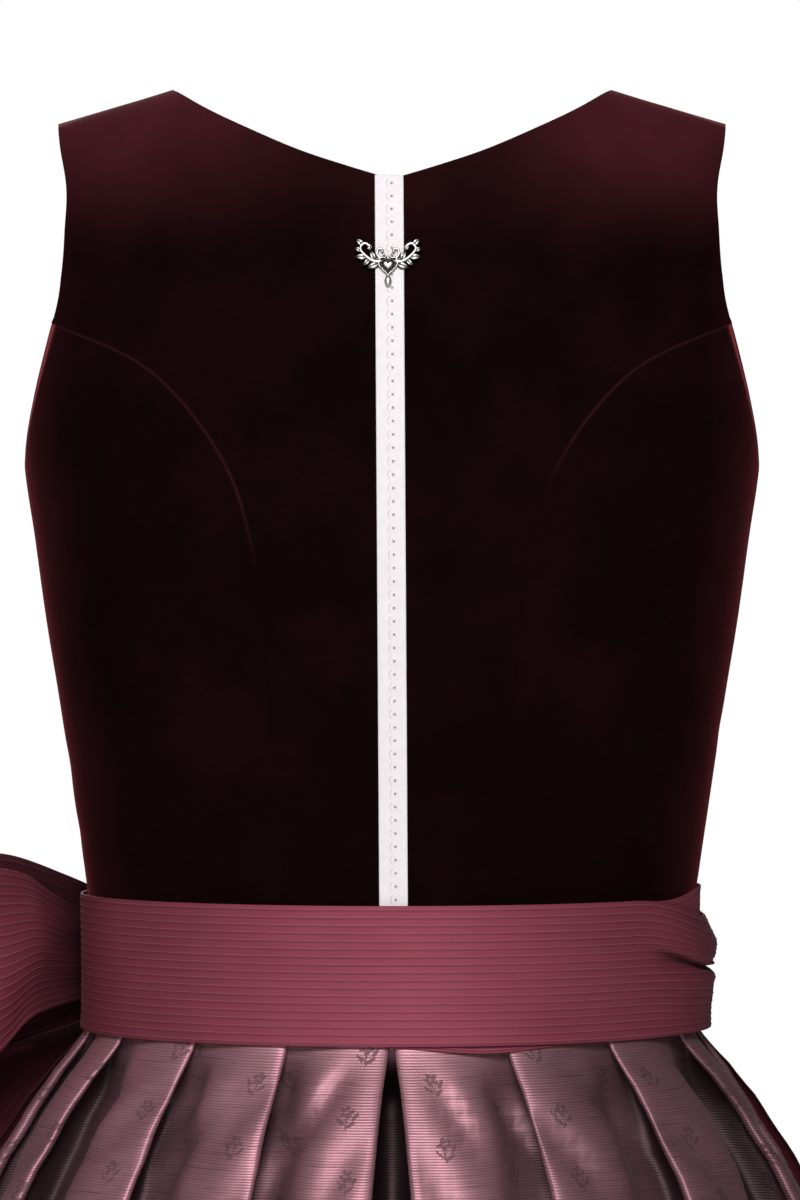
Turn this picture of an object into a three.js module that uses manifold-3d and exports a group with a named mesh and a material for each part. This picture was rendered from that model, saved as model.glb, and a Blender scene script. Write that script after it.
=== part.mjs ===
// A sleeveless velvet dirndl dress, worn and hollow, with a pleated skirt, an apron and a tied sash.
// Millimetres, +Z up. The origin lies midway between the shoulder seams, at the height of the neck points.
// The back faces -Y, the front faces +Y, and the wearer's right hand is at +X.
// Angles go round the body in degrees: 0 at centre back, 90 at the right side, 180 at centre front.
import * as THREE from 'three';
import { mergeVertices } from 'three/addons/utils/BufferGeometryUtils.js';
import Module from 'manifold-3d';

// Cloth walls and the gap left at a seam
const VELVET_WALL = 1.8;
const SKIRT_WALL = 1.1;
const SASH_WALL = 1.2;
const UNDER_SASH_WALL = 1.1;
const APRON_WALL = 1.0;
const RIBBON_WALL = 1.2;
const LACE_WALL = 1.0;
const SEAM_GAP = 0.3;
const CENTRE_FRONT = 180;

// The heights that the garment is cut to
const SASH_TOP = -401;
const SASH_BOTTOM = -468;
const APRON_HEM = -1070;
const APRON_TOP = -450;
const LACE_END = -415;

// Level sections of the bodice, from the waist to the shoulder seam: half width, depth to the back and
// front, and how square the oval is (2 is an ellipse)
const TORSO = [
  { height: -438, half: 149, back: 97, front: 101, square: 2 },
  { height: -401, half: 152, back: 96.5, front: 103, square: 2 },
  { height: -355, half: 158.5, back: 98, front: 109, square: 2.05 },
  { height: -305, half: 166, back: 101.5, front: 120, square: 2.1 },
  { height: -265, half: 172.5, back: 105, front: 130, square: 2.15 },
  { height: -225, half: 178, back: 108, front: 128, square: 2.2 },
  { height: -185, half: 183.5, back: 110, front: 117, square: 2.25 },
  { height: -148, half: 183, back: 110, front: 105, square: 2.3 },
  { height: -114, half: 181.5, back: 107.5, front: 94, square: 2.3 },
  { height: -84, half: 179.5, back: 102, front: 84, square: 2.35 },
  { height: -58, half: 177.5, back: 93, front: 74, square: 2.4 },
  { height: -36, half: 175.5, back: 79, front: 62, square: 2.4 },
  { height: -18, half: 174, back: 60, front: 47, square: 2.4 },
  { height: -5, half: 172.5, back: 33, front: 27, square: 2.4 },
  { height: 0, half: 172, back: 0.3, front: 0.3, square: 2.4 },
];

// The shoulder seam falls from the neck to the arm: slope, and the distance from the centre where it is level
const SHOULDER_SLOPE = 0.3;
const NECK_SPREAD = 113.8;
const NECK_ROUNDING = 25;
const SHOULDER_RISE = { from: -200, to: -60 };

// Edges and seams of the bodice, right half, from the waist up: distance from the centre and height
const CENTRE_BACK_LINE = [
  { across: 0, height: -438 },
  { across: 0, height: -310 },
  { across: 0, height: -180 },
  { across: 0, height: -51.5 },
];
const BACK_NECKLINE = [
  { across: 0, height: -51.5 },
  { across: 20, height: -47.3 },
  { across: 44, height: -39 },
  { across: 68, height: -27.6 },
  { across: 91, height: -14.8 },
  { across: 111, height: 0 },
];
const BACK_SEAM = [
  { across: 48, height: -438 },
  { across: 53, height: -370 },
  { across: 60, height: -290 },
  { across: 66.4, height: -231 },
  { across: 81.8, height: -186 },
  { across: 115.9, height: -145 },
  { across: 166.6, height: -119.5 },
];
const CENTRE_FRONT_LINE = [
  { across: 0, height: -438 },
  { across: 0, height: -340 },
  { across: 0, height: -245 },
  { across: 0, height: -150 },
];
const FRONT_NECKLINE = [
  { across: 0, height: -150 },
  { across: 32, height: -148.6 },
  { across: 62, height: -140.5 },
  { across: 93, height: -108 },
  { across: 107, height: -58 },
  { across: 111, height: 0 },
];
const FRONT_SEAM = [
  { across: 52, height: -438 },
  { across: 62, height: -370 },
  { across: 78, height: -310 },
  { across: 88, height: -265 },
  { across: 98, height: -215 },
  { across: 118, height: -165 },
  { across: 147, height: -128 },
];

// The armhole, by angle round the body: from each panel seam up to the shoulder, and down to the underarm
const BACK_ARMHOLE = [
  { angle: 64.8, height: -119.5 },
  { angle: 60.4, height: -97 },
  { angle: 59.5, height: -75 },
  { angle: 62.5, height: -50 },
  { angle: 74.8, height: -16.5 },
];
const BACK_UNDERARM = [
  { angle: 64.8, height: -119.5 },
  { angle: 71.2, height: -147 },
  { angle: 80.5, height: -177 },
  { angle: 90, height: -192 },
];
const FRONT_ARMHOLE = [
  { angle: 128.8, height: -128 },
  { angle: 131, height: -100 },
  { angle: 129.5, height: -74 },
  { angle: 123, height: -46 },
  { angle: 105.2, height: -16.5 },
];
const FRONT_UNDERARM = [
  { angle: 128.8, height: -128 },
  { angle: 122.5, height: -152 },
  { angle: 109, height: -180 },
  { angle: 90, height: -192 },
];
const SIDE_SEAM = [
  { angle: 90, height: -438 },
  { angle: 90, height: -360 },
  { angle: 90, height: -275 },
  { angle: 90, height: -192 },
];

// The line that the sash lies on, outside the bodice and the top of the skirt
const WAIST_RING = [
  { height: -395, half: 153.6, back: 98.4, front: 105.5 },
  { height: -401, half: 152.9, back: 98.4, front: 104.6 },
  { height: -438, half: 152.6, back: 100, front: 106 },
  { height: -468, half: 153.4, back: 102.6, front: 108.5 },
  { height: -476, half: 159, back: 108, front: 114 },
];
const UNDER_SASH_LIFT = 0;
const SASH_LIFT = 1.7;
const SASH_COLUMNS = { back: 36, front: 26, under: 26 };

// The sash is drawn together at the right side. Rows go up its width: the height and the lift of the bunch.
const PINCH = [
  { up: 0, height: -471, lift: 0 },
  { up: 0.2, height: -464, lift: 2 },
  { up: 0.37, height: -455, lift: 5 },
  { up: 0.5, height: -448, lift: 0.5 },
  { up: 0.63, height: -443, lift: 4.5 },
  { up: 0.82, height: -436, lift: 6 },
  { up: 1, height: -430, lift: 2.2 },
];
const PINCH_REACH = { from: 50, full: 84, fade: 92, to: 124 };
const UNDER_SASH_DIP = { at: 17, reach: 13, depth: 3.6, above: 0.2, end: 0.6 };
const UNDER_SASH_RISE = { from: 60, to: 84, height: 5, below: 1 };
const SASH_SPAN = { knot: -126.9, join: 87, under: -60, underEnd: 96 };

// Level sections of the skirt: the oval that its pleats lie on, the step between the layers of a pleat,
// how far a pleat runs under its neighbour in degrees, and how far the centre pair has opened
const SKIRT = [
  { height: -438.3, half: 145.5, back: 94, front: 97, step: 1.9, overlap: 6.5, centre: 0.4 },
  { height: -468, half: 148.4, back: 97.4, front: 100.6, step: 1.9, overlap: 6.5, centre: 0.6 },
  { height: -476, half: 153.2, back: 101.3, front: 104.3, step: 2.2, overlap: 6.2, centre: 1 },
  { height: -487, half: 161.3, back: 107.8, front: 110.8, step: 2.7, overlap: 5.8, centre: 1.6 },
  { height: -505, half: 172.5, back: 118, front: 121, step: 3.4, overlap: 5, centre: 2.2 },
  { height: -532, half: 188, back: 132, front: 136, step: 4.2, overlap: 3.8, centre: 2.8 },
  { height: -575, half: 210, back: 152, front: 157, step: 5.4, overlap: 1.8, centre: 3.4 },
  { height: -645, half: 242, back: 183, front: 189, step: 7.2, overlap: -0.8, centre: 4 },
  { height: -750, half: 280, back: 222, front: 229, step: 9.7, overlap: -2.8, centre: 4.5 },
  { height: -890, half: 320, back: 265, front: 272, step: 12.5, overlap: -4.3, centre: 5 },
  { height: -1090, half: 362, back: 316, front: 323, step: 15, overlap: -5.5, centre: 5.5 },
];
const CLOSED_OVERLAP = { from: -1, to: 5 };

// Folds of the skirt from centre back to centre front: angles at the waist, and once the pleats fan out
const FOLDS = [
  { left: 0, right: 0, leftOpen: 0, rightOpen: 0 },
  { left: 19.5, right: 21.6, leftOpen: 20, rightOpen: 23 },
  { left: 39, right: 44, leftOpen: 39.6, rightOpen: 45.5 },
  { left: 60.6, right: 69, leftOpen: 64, rightOpen: 76 },
  { left: 81, right: 90, leftOpen: 84, rightOpen: 95 },
  { left: 101, right: 109, leftOpen: 104, rightOpen: 113 },
  { left: 121, right: 127, leftOpen: 123, rightOpen: 130 },
  { left: 141, right: 144, leftOpen: 142, rightOpen: 146 },
  { left: 160, right: 161, leftOpen: 160, rightOpen: 161.5 },
];
const FAN = { from: -466, to: -512 };

// One pleat from the panel before it to the panel after it. The under fold turns at the end of the overlap
// and the outer fold at the edge that shows. Turns are in turn lengths along the ring, lifts in steps.
const PLEAT = [
  { fold: 'under', closedTurn: -1, openTurn: -1, closedLift: 0, openLift: 0.12 },
  { fold: 'under', closedTurn: 0, openTurn: 0, closedLift: 0.5, openLift: 0 },
  { fold: 'under', closedTurn: -1, openTurn: 0.6, closedLift: 1, openLift: 0.35 },
  { fold: 'outer', closedTurn: 1, openTurn: -0.5, closedLift: 1, openLift: 1.6 },
  { fold: 'outer', closedTurn: 0, openTurn: 0, closedLift: 1.5, openLift: 1.95 },
  { fold: 'outer', closedTurn: 1, openTurn: 1, closedLift: 2, openLift: 2 },
];
const CLOSED_TURN = 1.3;
const OPEN_TURN = 0.75;
const PANEL_STEPS = [0.25, 0.5, 0.75];
const CLOSED_SLOPE = { from: 0.26, to: 0.72 };
const CENTRE_UNDERLAY = { share: 0.7, turn: 0.6 };
const SIDE_PANEL = 4;

// The apron: how far it stays clear of the pleats, and how deep its soft gathers are, at each height
const APRON = [
  { height: -450, clear: 0.3, wave: 0.1 },
  { height: -468, clear: 0.3, wave: 0.1 },
  { height: -505, clear: 0.8, wave: 2 },
  { height: -600, clear: 1, wave: 4.5 },
  { height: -800, clear: 1, wave: 7 },
  { height: -1070, clear: 1, wave: 8 },
];
const APRON_SPAN = { from: 97, to: 263 };
const APRON_WAVES = 14;

// The bow at the left front. A loop goes out along the ribbon's outer face and back along the inner one:
// along the waist from the knot, out from the sash, and the low and high edge of the ribbon.
const KNOT_ANGLE = -127;
const KNOT_HEIGHT = -437;
const KNOT = { half: 15, tall: 23, near: 0.45, far: 18.5, square: 3.4, columns: 16, rows: 9, crease: 0.9 };
const BOW_LOOP = [
  { along: 15.6, out: 12.6, low: -451, high: -424 },
  { along: 42, out: 16, low: -459, high: -412 },
  { along: 75, out: 25, low: -470, high: -397 },
  { along: 110, out: 29, low: -474, high: -391 },
  { along: 138, out: 23, low: -476, high: -391 },
  { along: 148, out: 9, low: -478, high: -392 },
  { along: 138, out: -5, low: -479, high: -394 },
  { along: 108, out: -9, low: -478, high: -397 },
  { along: 74, out: -3.5, low: -470, high: -406 },
  { along: 42, out: 3, low: -462, high: -417 },
  { along: 15.6, out: 8, low: -452, high: -425 },
];
const LOOP_STEPS = 22;
const LOOP_COLUMNS = 5;
const LOOP_CUP = 2.5;

// The two ribbon ends: centre angle, width and clearance over the skirt at each height
const OUTER_TAIL = [
  { height: -460.6, angle: -124.5, width: 22, clear: 12.5 },
  { height: -482, angle: -118, width: 38, clear: 11.5 },
  { height: -515, angle: -112, width: 58, clear: 9 },
  { height: -600, angle: -108, width: 66, clear: 5 },
  { height: -730, angle: -106, width: 68, clear: 4 },
  { height: -872, angle: -105, width: 68, clear: 4 },
];
const INNER_TAIL = [
  { height: -460.6, angle: -129.5, width: 22, clear: 9.5 },
  { height: -482, angle: -134, width: 38, clear: 8 },
  { height: -515, angle: -137, width: 56, clear: 6 },
  { height: -600, angle: -138, width: 66, clear: 5 },
  { height: -720, angle: -138, width: 68, clear: 4 },
  { height: -845, angle: -138, width: 68, clear: 4 },
];
const TAIL_STEPS = 11;
const TAIL_COLUMNS = 5;
const TAIL_SLANT = 16;
const TAIL_RIPPLE = 1.6;
const TAIL_WAVES = 2;

// The lace tape down the centre back, and the charm sewn to it
const LACE = { half: 7.25, lift: 0.3, rows: 16, columns: 2 };
const CHARM = { across: -1.7, height: -95.5, lift: 1.7, thick: 1.5, bevel: 0.5, depth: 2.5, curveSteps: 4 };

// Heights of the heart's outline, and how far its curves pull from the middle, in shares of its half width
const CHARM_HEART = {
  half: 5.2, dip: 1.2, lobe: 4.4, brow: 3.8, widest: 0.8, flank: -2.2, chin: -3.6, tip: -6.2,
};
const CHARM_HEART_PULL = { inward: 0.3, bulge: 1.1, taper: 0.9 };
const CHARM_DROP = { radius: 1.7, height: -7.5, stretch: 1.35, flatten: 0.7, lift: 1.2, around: 8, rings: 6 };
const CHARM_SPRAY = [
  { across: 2.5, height: 1.5 },
  { across: 6.5, height: 1.2 },
  { across: 10.5, height: 3.6 },
  { across: 13.2, height: 7.2 },
  { across: 11.2, height: 9.8 },
  { across: 8.9, height: 8.2 },
];
const CHARM_STEM = { half: 0.75, steps: 9, sides: 5 };
const CHARM_LEAF = { bend: -0.1, plump: 0.95, lift: 0.25, curveSteps: 3 };
const CHARM_LEAVES = [
  { across: 7.2, height: -0.6, length: 6.4, width: 2.6, turn: -22 },
  { across: 12.9, height: 3.4, length: 6, width: 2.4, turn: 2 },
  { across: 7.3, height: 3.7, length: 6, width: 2.4, turn: 62 },
  { across: 13.4, height: 10.4, length: 4.8, width: 2.2, turn: 40 },
];

const FINISH = {
  velvet: { color: 0x2b0f14, roughness: 0.92, metalness: 0 },
  jacquard: { color: 0x7d5a66, roughness: 0.55, metalness: 0 },
  satin: { color: 0x7e3346, roughness: 0.42, metalness: 0 },
  apron: { color: 0x762f40, roughness: 0.45, metalness: 0 },
  lace: { color: 0xece8e6, roughness: 0.85, metalness: 0 },
  silver: { color: 0x8f8a86, roughness: 0.35, metalness: 1 },
};

const radians = THREE.MathUtils.degToRad;
const lerp = THREE.MathUtils.lerp;
const smooth = THREE.MathUtils.smoothstep;

// A value of a table between its rows, on a smooth curve through them. Row numbers may have a fraction.
function column(table, name, at) {
  const last = table.length - 1;
  const row = Math.min(Math.max(Math.floor(at), 0), last - 1);
  const pick = (index) => {
    if (index < 0) return 2 * table[0][name] - table[1][name];
    if (index > last) return 2 * table[last][name] - table[last - 1][name];
    return table[index][name];
  };
  const part = at - row;
  const before = pick(row - 1);
  const start = pick(row);
  const end = pick(row + 1);
  const after = pick(row + 2);
  const bend = 3 * (start - end) + after - before;
  const curve = 2 * before - 5 * start + 4 * end - after;
  return start + 0.5 * part * (end - before + part * (curve + part * bend));
}

// The row number of a height in a table whose rows are sorted by height, up or down
function rowOf(table, height) {
  const rising = table[1].height > table[0].height;
  const last = table.length - 2;
  let row = 0;
  while (row < last && (rising ? table[row + 1].height < height : table[row + 1].height > height)) row += 1;
  return row + (height - table[row].height) / (table[row + 1].height - table[row].height);
}

// Evenly spaced rows of a table, as objects with the named columns
function resampled(table, names, steps) {
  const rows = [];
  for (let step = 0; step <= steps; step += 1) {
    const at = (step / steps) * (table.length - 1);
    rows.push(Object.fromEntries(names.map((name) => [name, column(table, name, at)])));
  }
  return rows;
}

// The bodice surface by angle and level, where a level is a row number of TORSO
function torsoPoint(angle, level) {
  const power = 2 / column(TORSO, 'square', level);
  const sine = Math.sin(radians(angle));
  const cosine = Math.cos(radians(angle));
  const depth = cosine < 0 ? column(TORSO, 'front', level) : -column(TORSO, 'back', level);
  const x = column(TORSO, 'half', level) * Math.sign(sine) * Math.abs(sine) ** power;
  const y = depth * Math.abs(cosine) ** power;
  const height = column(TORSO, 'height', level);
  const rise = SHOULDER_SLOPE * (NECK_SPREAD - Math.hypot(x, NECK_ROUNDING));
  return new THREE.Vector3(x, y, height + rise * smooth(height, SHOULDER_RISE.from, SHOULDER_RISE.to));
}

// The way out of the surface; on the shoulder seam it stands upright, so both panels are cut square there
function torsoNormal(angle, level) {
  const turn = 0.4;
  const rise = 0.08;
  const round = torsoPoint(angle + turn, level).sub(torsoPoint(angle - turn, level));
  const up = torsoPoint(angle, level + rise).sub(torsoPoint(angle, level - rise));
  const normal = round.cross(up).normalize();
  return level > TORSO.length - 1 - rise ? normal.setY(0).normalize() : normal;
}

// The level whose point has the wanted height; pointAt gives the point for a level
const LEVEL_HALVINGS = 40;

function levelFor(pointAt, height) {
  let low = -0.5;
  let high = TORSO.length - 1;
  for (let halving = 0; halving < LEVEL_HALVINGS; halving += 1) {
    const middle = (low + high) / 2;
    if (pointAt(middle) < height) low = middle;
    else high = middle;
  }
  return (low + high) / 2;
}

// The angle, at a level, of a point that lies a distance across from the centre
function angleFor(across, level, onFront) {
  const share = Math.min(across / column(TORSO, 'half', level), 1);
  const angle = THREE.MathUtils.radToDeg(Math.asin(share ** (column(TORSO, 'square', level) / 2)));
  return onFront ? CENTRE_FRONT - angle : angle;
}

// Turns a row of an edge table into an angle and a level on the bodice
function onTorso(row, onFront) {
  const angleAt = (level) => ('angle' in row ? row.angle : angleFor(row.across, level, onFront));
  const level = levelFor((tried) => torsoPoint(angleAt(tried), tried).z, row.height);
  return { angle: angleAt(level), level };
}

function edge(table, steps, onFront) {
  const names = 'angle' in table[0] ? ['angle', 'height'] : ['across', 'height'];
  return resampled(table, names, steps).map((row) => onTorso(row, onFront));
}

// Moves an edge sideways over the surface by half a seam gap
function parted(points, side) {
  return points.map((point, index) => {
    const before = points[Math.max(index - 1, 0)];
    const after = points[Math.min(index + 1, points.length - 1)];
    const along = torsoPoint(after.angle, after.level).sub(torsoPoint(before.angle, before.level));
    const across = along.cross(torsoNormal(point.angle, point.level)).normalize();
    const here = torsoPoint(point.angle, point.level);
    const turn = 0.5;
    const rise = 0.1;
    const round = torsoPoint(point.angle + turn, point.level).sub(here).divideScalar(turn);
    const up = torsoPoint(point.angle, point.level + rise).sub(here).divideScalar(rise);
    const step = (side * SEAM_GAP) / 2;
    return {
      angle: point.angle + (step * across.dot(round)) / round.lengthSq(),
      level: point.level + (step * across.dot(up)) / up.lengthSq(),
    };
  });
}

// A closed wall from two grids of points, its outer and its inner face, with the rims between them
function shell(outer, inner) {
  const rows = outer.length;
  const columns = outer[0].length;
  const points = [...outer.flat(), ...inner.flat()];
  const index = [];
  const at = (row, place, face) => face * rows * columns + row * columns + place;
  const quad = (a, b, c, d) => index.push(a, b, c, a, c, d);
  for (let row = 0; row + 1 < rows; row += 1) {
    for (let place = 0; place + 1 < columns; place += 1) {
      quad(at(row, place, 0), at(row, place + 1, 0), at(row + 1, place + 1, 0), at(row + 1, place, 0));
      quad(at(row, place, 1), at(row + 1, place, 1), at(row + 1, place + 1, 1), at(row, place + 1, 1));
    }
    const last = columns - 1;
    quad(at(row, 0, 0), at(row + 1, 0, 0), at(row + 1, 0, 1), at(row, 0, 1));
    quad(at(row, last, 0), at(row, last, 1), at(row + 1, last, 1), at(row + 1, last, 0));
  }
  for (let place = 0; place + 1 < columns; place += 1) {
    const top = rows - 1;
    quad(at(0, place, 0), at(0, place, 1), at(0, place + 1, 1), at(0, place + 1, 0));
    quad(at(top, place, 0), at(top, place + 1, 0), at(top, place + 1, 1), at(top, place, 1));
  }
  return solid(points, index);
}

// A geometry whose faces point outwards, whichever way the points were listed
function solid(points, index) {
  let volume = 0;
  for (let corner = 0; corner < index.length; corner += 3) {
    const [a, b, c] = [0, 1, 2].map((step) => points[index[corner + step]]);
    volume += a.dot(b.clone().cross(c));
  }
  if (volume < 0) index.reverse();
  const geometry = new THREE.BufferGeometry();
  geometry.setAttribute('position', new THREE.Float32BufferAttribute(points.flatMap((p) => p.toArray()), 3));
  geometry.setIndex(index);
  geometry.computeVertexNormals();
  return geometry;
}

const dress = new THREE.Group();

function add(name, geometry, finish) {
  const mesh = new THREE.Mesh(geometry, new THREE.MeshStandardMaterial(FINISH[finish]));
  mesh.name = name;
  dress.add(mesh);
  return mesh;
}

const mirrored = (grid) => grid.map((row) => row.map((p) => new THREE.Vector3(-p.x, p.y, p.z)));

// A bodice panel, ruled between two edges; its top edge may bow as a curve of its own does
function panel(inner, outer, columns, top) {
  const last = inner.length - 1;
  const faces = { outer: [], inner: [] };
  inner.forEach((from, row) => {
    const to = outer[row];
    const points = [];
    for (let step = 0; step <= columns; step += 1) {
      const part = step / columns;
      const place = { angle: lerp(from.angle, to.angle, part), level: lerp(from.level, to.level, part) };
      if (top) {
        const pull = (row / last) ** 2;
        place.angle += pull * (top[step].angle - lerp(top[0].angle, top.at(-1).angle, part));
        place.level += pull * (top[step].level - lerp(top[0].level, top.at(-1).level, part));
      }
      points.push(place);
    }
    faces.outer.push(points.map((p) => torsoPoint(p.angle, p.level)));
    faces.inner.push(points.map((p) => {
      return torsoPoint(p.angle, p.level).addScaledVector(torsoNormal(p.angle, p.level), -VELVET_WALL);
    }));
  });
  return faces;
}

function addPair(name, faces, finish) {
  add(`${name}_right`, shell(faces.outer, faces.inner), finish);
  add(`${name}_left`, shell(mirrored(faces.outer), mirrored(faces.inner)), finish);
}

// Rows along the panel edges. The front neckline is nearly level, so its rows start a few rows lower.
const SEAM_ROWS = 9;
const NECK_ROWS = 5;
const LOWER_NECK_ROWS = 3;
const PANEL_COLUMNS = 8;
const SIDE_PANEL_COLUMNS = 6;

function addBodice() {
  const joined = (lower, upper) => [...lower, ...upper.slice(1)];
  const backSeam = edge(BACK_SEAM, SEAM_ROWS, false);
  const frontSeam = edge(FRONT_SEAM, SEAM_ROWS, true);
  const sideSeam = edge(SIDE_SEAM, SEAM_ROWS, false);
  const centreBack = joined(parted(edge(CENTRE_BACK_LINE, SEAM_ROWS, false), 1),
    edge(BACK_NECKLINE, NECK_ROWS, false));
  const centreFront = joined(parted(edge(CENTRE_FRONT_LINE, SEAM_ROWS - LOWER_NECK_ROWS, true), -1),
    edge(FRONT_NECKLINE, NECK_ROWS + LOWER_NECK_ROWS, true));
  const backEdge = joined(parted(backSeam, -1), edge(BACK_ARMHOLE, NECK_ROWS, false));
  const frontEdge = joined(parted(frontSeam, 1), edge(FRONT_ARMHOLE, NECK_ROWS, true));
  addPair('back', panel(centreBack, backEdge, PANEL_COLUMNS), 'velvet');
  addPair('front', panel(centreFront, frontEdge, PANEL_COLUMNS), 'velvet');
  const count = SIDE_PANEL_COLUMNS;
  const backTop = edge(BACK_UNDERARM, count, false);
  const frontTop = edge(FRONT_UNDERARM, count, true);
  addPair('side_back', panel(parted(backSeam, 1), parted(sideSeam, -1), count, backTop), 'velvet');
  addPair('side_front', panel(parted(frontSeam, -1), parted(sideSeam, 1), count, frontTop), 'velvet');
}

// A point on an oval of a table with half, back and front columns, lifted straight out from it
function ovalPoint(table, angle, height, lift) {
  const at = rowOf(table, height);
  const half = column(table, 'half', at);
  const sine = Math.sin(radians(angle));
  const cosine = Math.cos(radians(angle));
  const depth = column(table, cosine < 0 ? 'front' : 'back', at);
  const out = new THREE.Vector2(sine / half, -cosine / depth).normalize();
  return new THREE.Vector3(half * sine + lift * out.x, -depth * cosine + lift * out.y, height);
}

// Millimetres along the oval for each degree, at an angle
function degreeLength(table, angle, height) {
  const at = rowOf(table, height);
  const sine = Math.sin(radians(angle));
  const cosine = Math.cos(radians(angle));
  const depth = column(table, cosine < 0 ? 'front' : 'back', at);
  return radians(Math.hypot(column(table, 'half', at) * cosine, depth * sine));
}

// The places of one side of a skirt section, from centre back to centre front
function pleatedSide(height, side) {
  const at = rowOf(SKIRT, height);
  const step = column(SKIRT, 'step', at);
  const overlap = column(SKIRT, 'overlap', at);
  const closed = smooth(overlap, CLOSED_OVERLAP.from, CLOSED_OVERLAP.to);
  const fan = smooth(-height, -FAN.from, -FAN.to);
  const turn = lerp(OPEN_TURN * step, CLOSED_TURN, closed);
  const slope = { from: closed * CLOSED_SLOPE.from, to: lerp(1, CLOSED_SLOPE.to, closed) };
  const folds = FOLDS.map((row, index) => {
    const opened = index === 0 ? column(SKIRT, 'centre', at) : 0;
    const outer = opened + lerp(row[side], row[`${side}Open`], fan);
    if (index > 0) return { outer, under: outer + overlap, turn };
    const under = lerp(CENTRE_UNDERLAY.share * outer, outer + overlap, closed);
    const room = CENTRE_UNDERLAY.turn * under * degreeLength(SKIRT, under, height);
    return { outer, under, turn: Math.min(turn, room) };
  });
  const places = [];
  folds.forEach((fold, index) => {
    for (const row of PLEAT) {
      const angle = fold[row.fold];
      const shift = fold.turn * lerp(row.openTurn, row.closedTurn, closed);
      const lift = step * lerp(row.openLift, row.closedLift, closed);
      places.push({ angle: angle + shift / degreeLength(SKIRT, angle, height), lift });
    }
    const start = places.at(-1).angle;
    const next = folds[index + 1];
    const end = next ? next.under - turn / degreeLength(SKIRT, next.under, height) : CENTRE_FRONT;
    for (const part of PANEL_STEPS) {
      const fall = next ? smooth(part, slope.from, slope.to) : smooth(part, slope.from, 1) / 2;
      places.push({ angle: lerp(start, end, part), lift: 2 * step * (1 - fall) });
    }
  });
  return places;
}

// One skirt section as a closed line of points on the middle of the cloth, with a normal for each
function skirtRing(height) {
  const right = pleatedSide(height, 'right');
  const left = pleatedSide(height, 'left').map((place) => ({ angle: -place.angle, lift: place.lift }));
  const centre = { angle: 0, lift: 0 };
  const front = { angle: CENTRE_FRONT, lift: right.at(-1).lift };
  const places = [...left.slice().reverse(), centre, ...right, front];
  const line = places.map((place) => ovalPoint(SKIRT, place.angle, height, place.lift));
  return line.map((point, index) => {
    const before = line[(index + line.length - 1) % line.length];
    const after = line[(index + 1) % line.length];
    const normal = new THREE.Vector3(after.y - before.y, before.x - after.x, 0).normalize();
    return { point, normal };
  });
}

function skirtWall(rings, from, count) {
  const outer = [];
  const inner = [];
  for (const ring of rings) {
    const picked = Array.from({ length: count }, (unused, step) => ring[(from + step) % ring.length]);
    const ends = [picked[1].point.clone().sub(picked[0].point).normalize(),
      picked.at(-2).point.clone().sub(picked.at(-1).point).normalize()];
    const moved = picked.map((place) => place.point.clone());
    moved[0].addScaledVector(ends[0], SEAM_GAP / 2);
    moved.at(-1).addScaledVector(ends[1], SEAM_GAP / 2);
    outer.push(moved.map((p, step) => p.clone().addScaledVector(picked[step].normal, SKIRT_WALL / 2)));
    inner.push(moved.map((p, step) => p.clone().addScaledVector(picked[step].normal, -SKIRT_WALL / 2)));
  }
  return shell(outer, inner);
}

function addSkirt() {
  const rings = SKIRT.map((row) => skirtRing(row.height));
  const perFold = PLEAT.length + PANEL_STEPS.length;
  const sideCount = FOLDS.length * perFold;
  const seam = SIDE_PANEL * perFold + PLEAT.length + 1;
  const backFrom = sideCount - 1 - seam;
  const backCount = 2 * seam + 3;
  add('skirt_back', skirtWall(rings, backFrom, backCount), 'jacquard');
  add('skirt_front', skirtWall(rings, backFrom + backCount - 1, rings[0].length - backCount + 2), 'jacquard');
}

// How strongly the sash is drawn together at an angle
function pinchAt(angle) {
  const rising = smooth(angle, PINCH_REACH.from, PINCH_REACH.full);
  return rising * (1 - smooth(angle, PINCH_REACH.fade, PINCH_REACH.to));
}

// A stretch of the sash, with rows up its width and columns round the waist
function sashWall(from, to, columns) {
  const outer = [];
  const inner = [];
  for (const row of PINCH) {
    const line = { outer: [], inner: [] };
    for (let step = 0; step <= columns; step += 1) {
      const angle = lerp(from, to, step / columns);
      const pinch = pinchAt(angle);
      const height = lerp(lerp(SASH_BOTTOM, SASH_TOP, row.up), row.height, pinch);
      const lift = SASH_LIFT + pinch * row.lift;
      line.inner.push(ovalPoint(WAIST_RING, angle, height, lift));
      line.outer.push(ovalPoint(WAIST_RING, angle, height, lift + SASH_WALL));
    }
    outer.push(line.outer);
    inner.push(line.inner);
  }
  return shell(outer, inner);
}

// Heights up the layer of the sash that lies beneath: its dipping edge, the dip's end, its middle and top
function underSashHeights(angle) {
  const { at, reach, depth, above, end } = UNDER_SASH_DIP;
  const { from, to, height, below } = UNDER_SASH_RISE;
  const away = (angle - at) / reach;
  const low = SASH_BOTTOM + above - depth * Math.exp(-away * away);
  const high = SASH_TOP - below + height * smooth(angle, from, to);
  return [low, SASH_BOTTOM + end, KNOT_HEIGHT, high];
}

// The layer beneath, seen above the bunch and as a sliver below the edge
function underSashWall(columns) {
  const angles = Array.from({ length: columns + 1 }, (unused, step) => {
    return lerp(SASH_SPAN.under, SASH_SPAN.underEnd, step / columns);
  });
  const grid = (lift) => underSashHeights(0).map((unused, row) => angles.map((angle) => {
    return ovalPoint(WAIST_RING, angle, underSashHeights(angle)[row], lift);
  }));
  return shell(grid(UNDER_SASH_LIFT + UNDER_SASH_WALL), grid(UNDER_SASH_LIFT));
}

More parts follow.
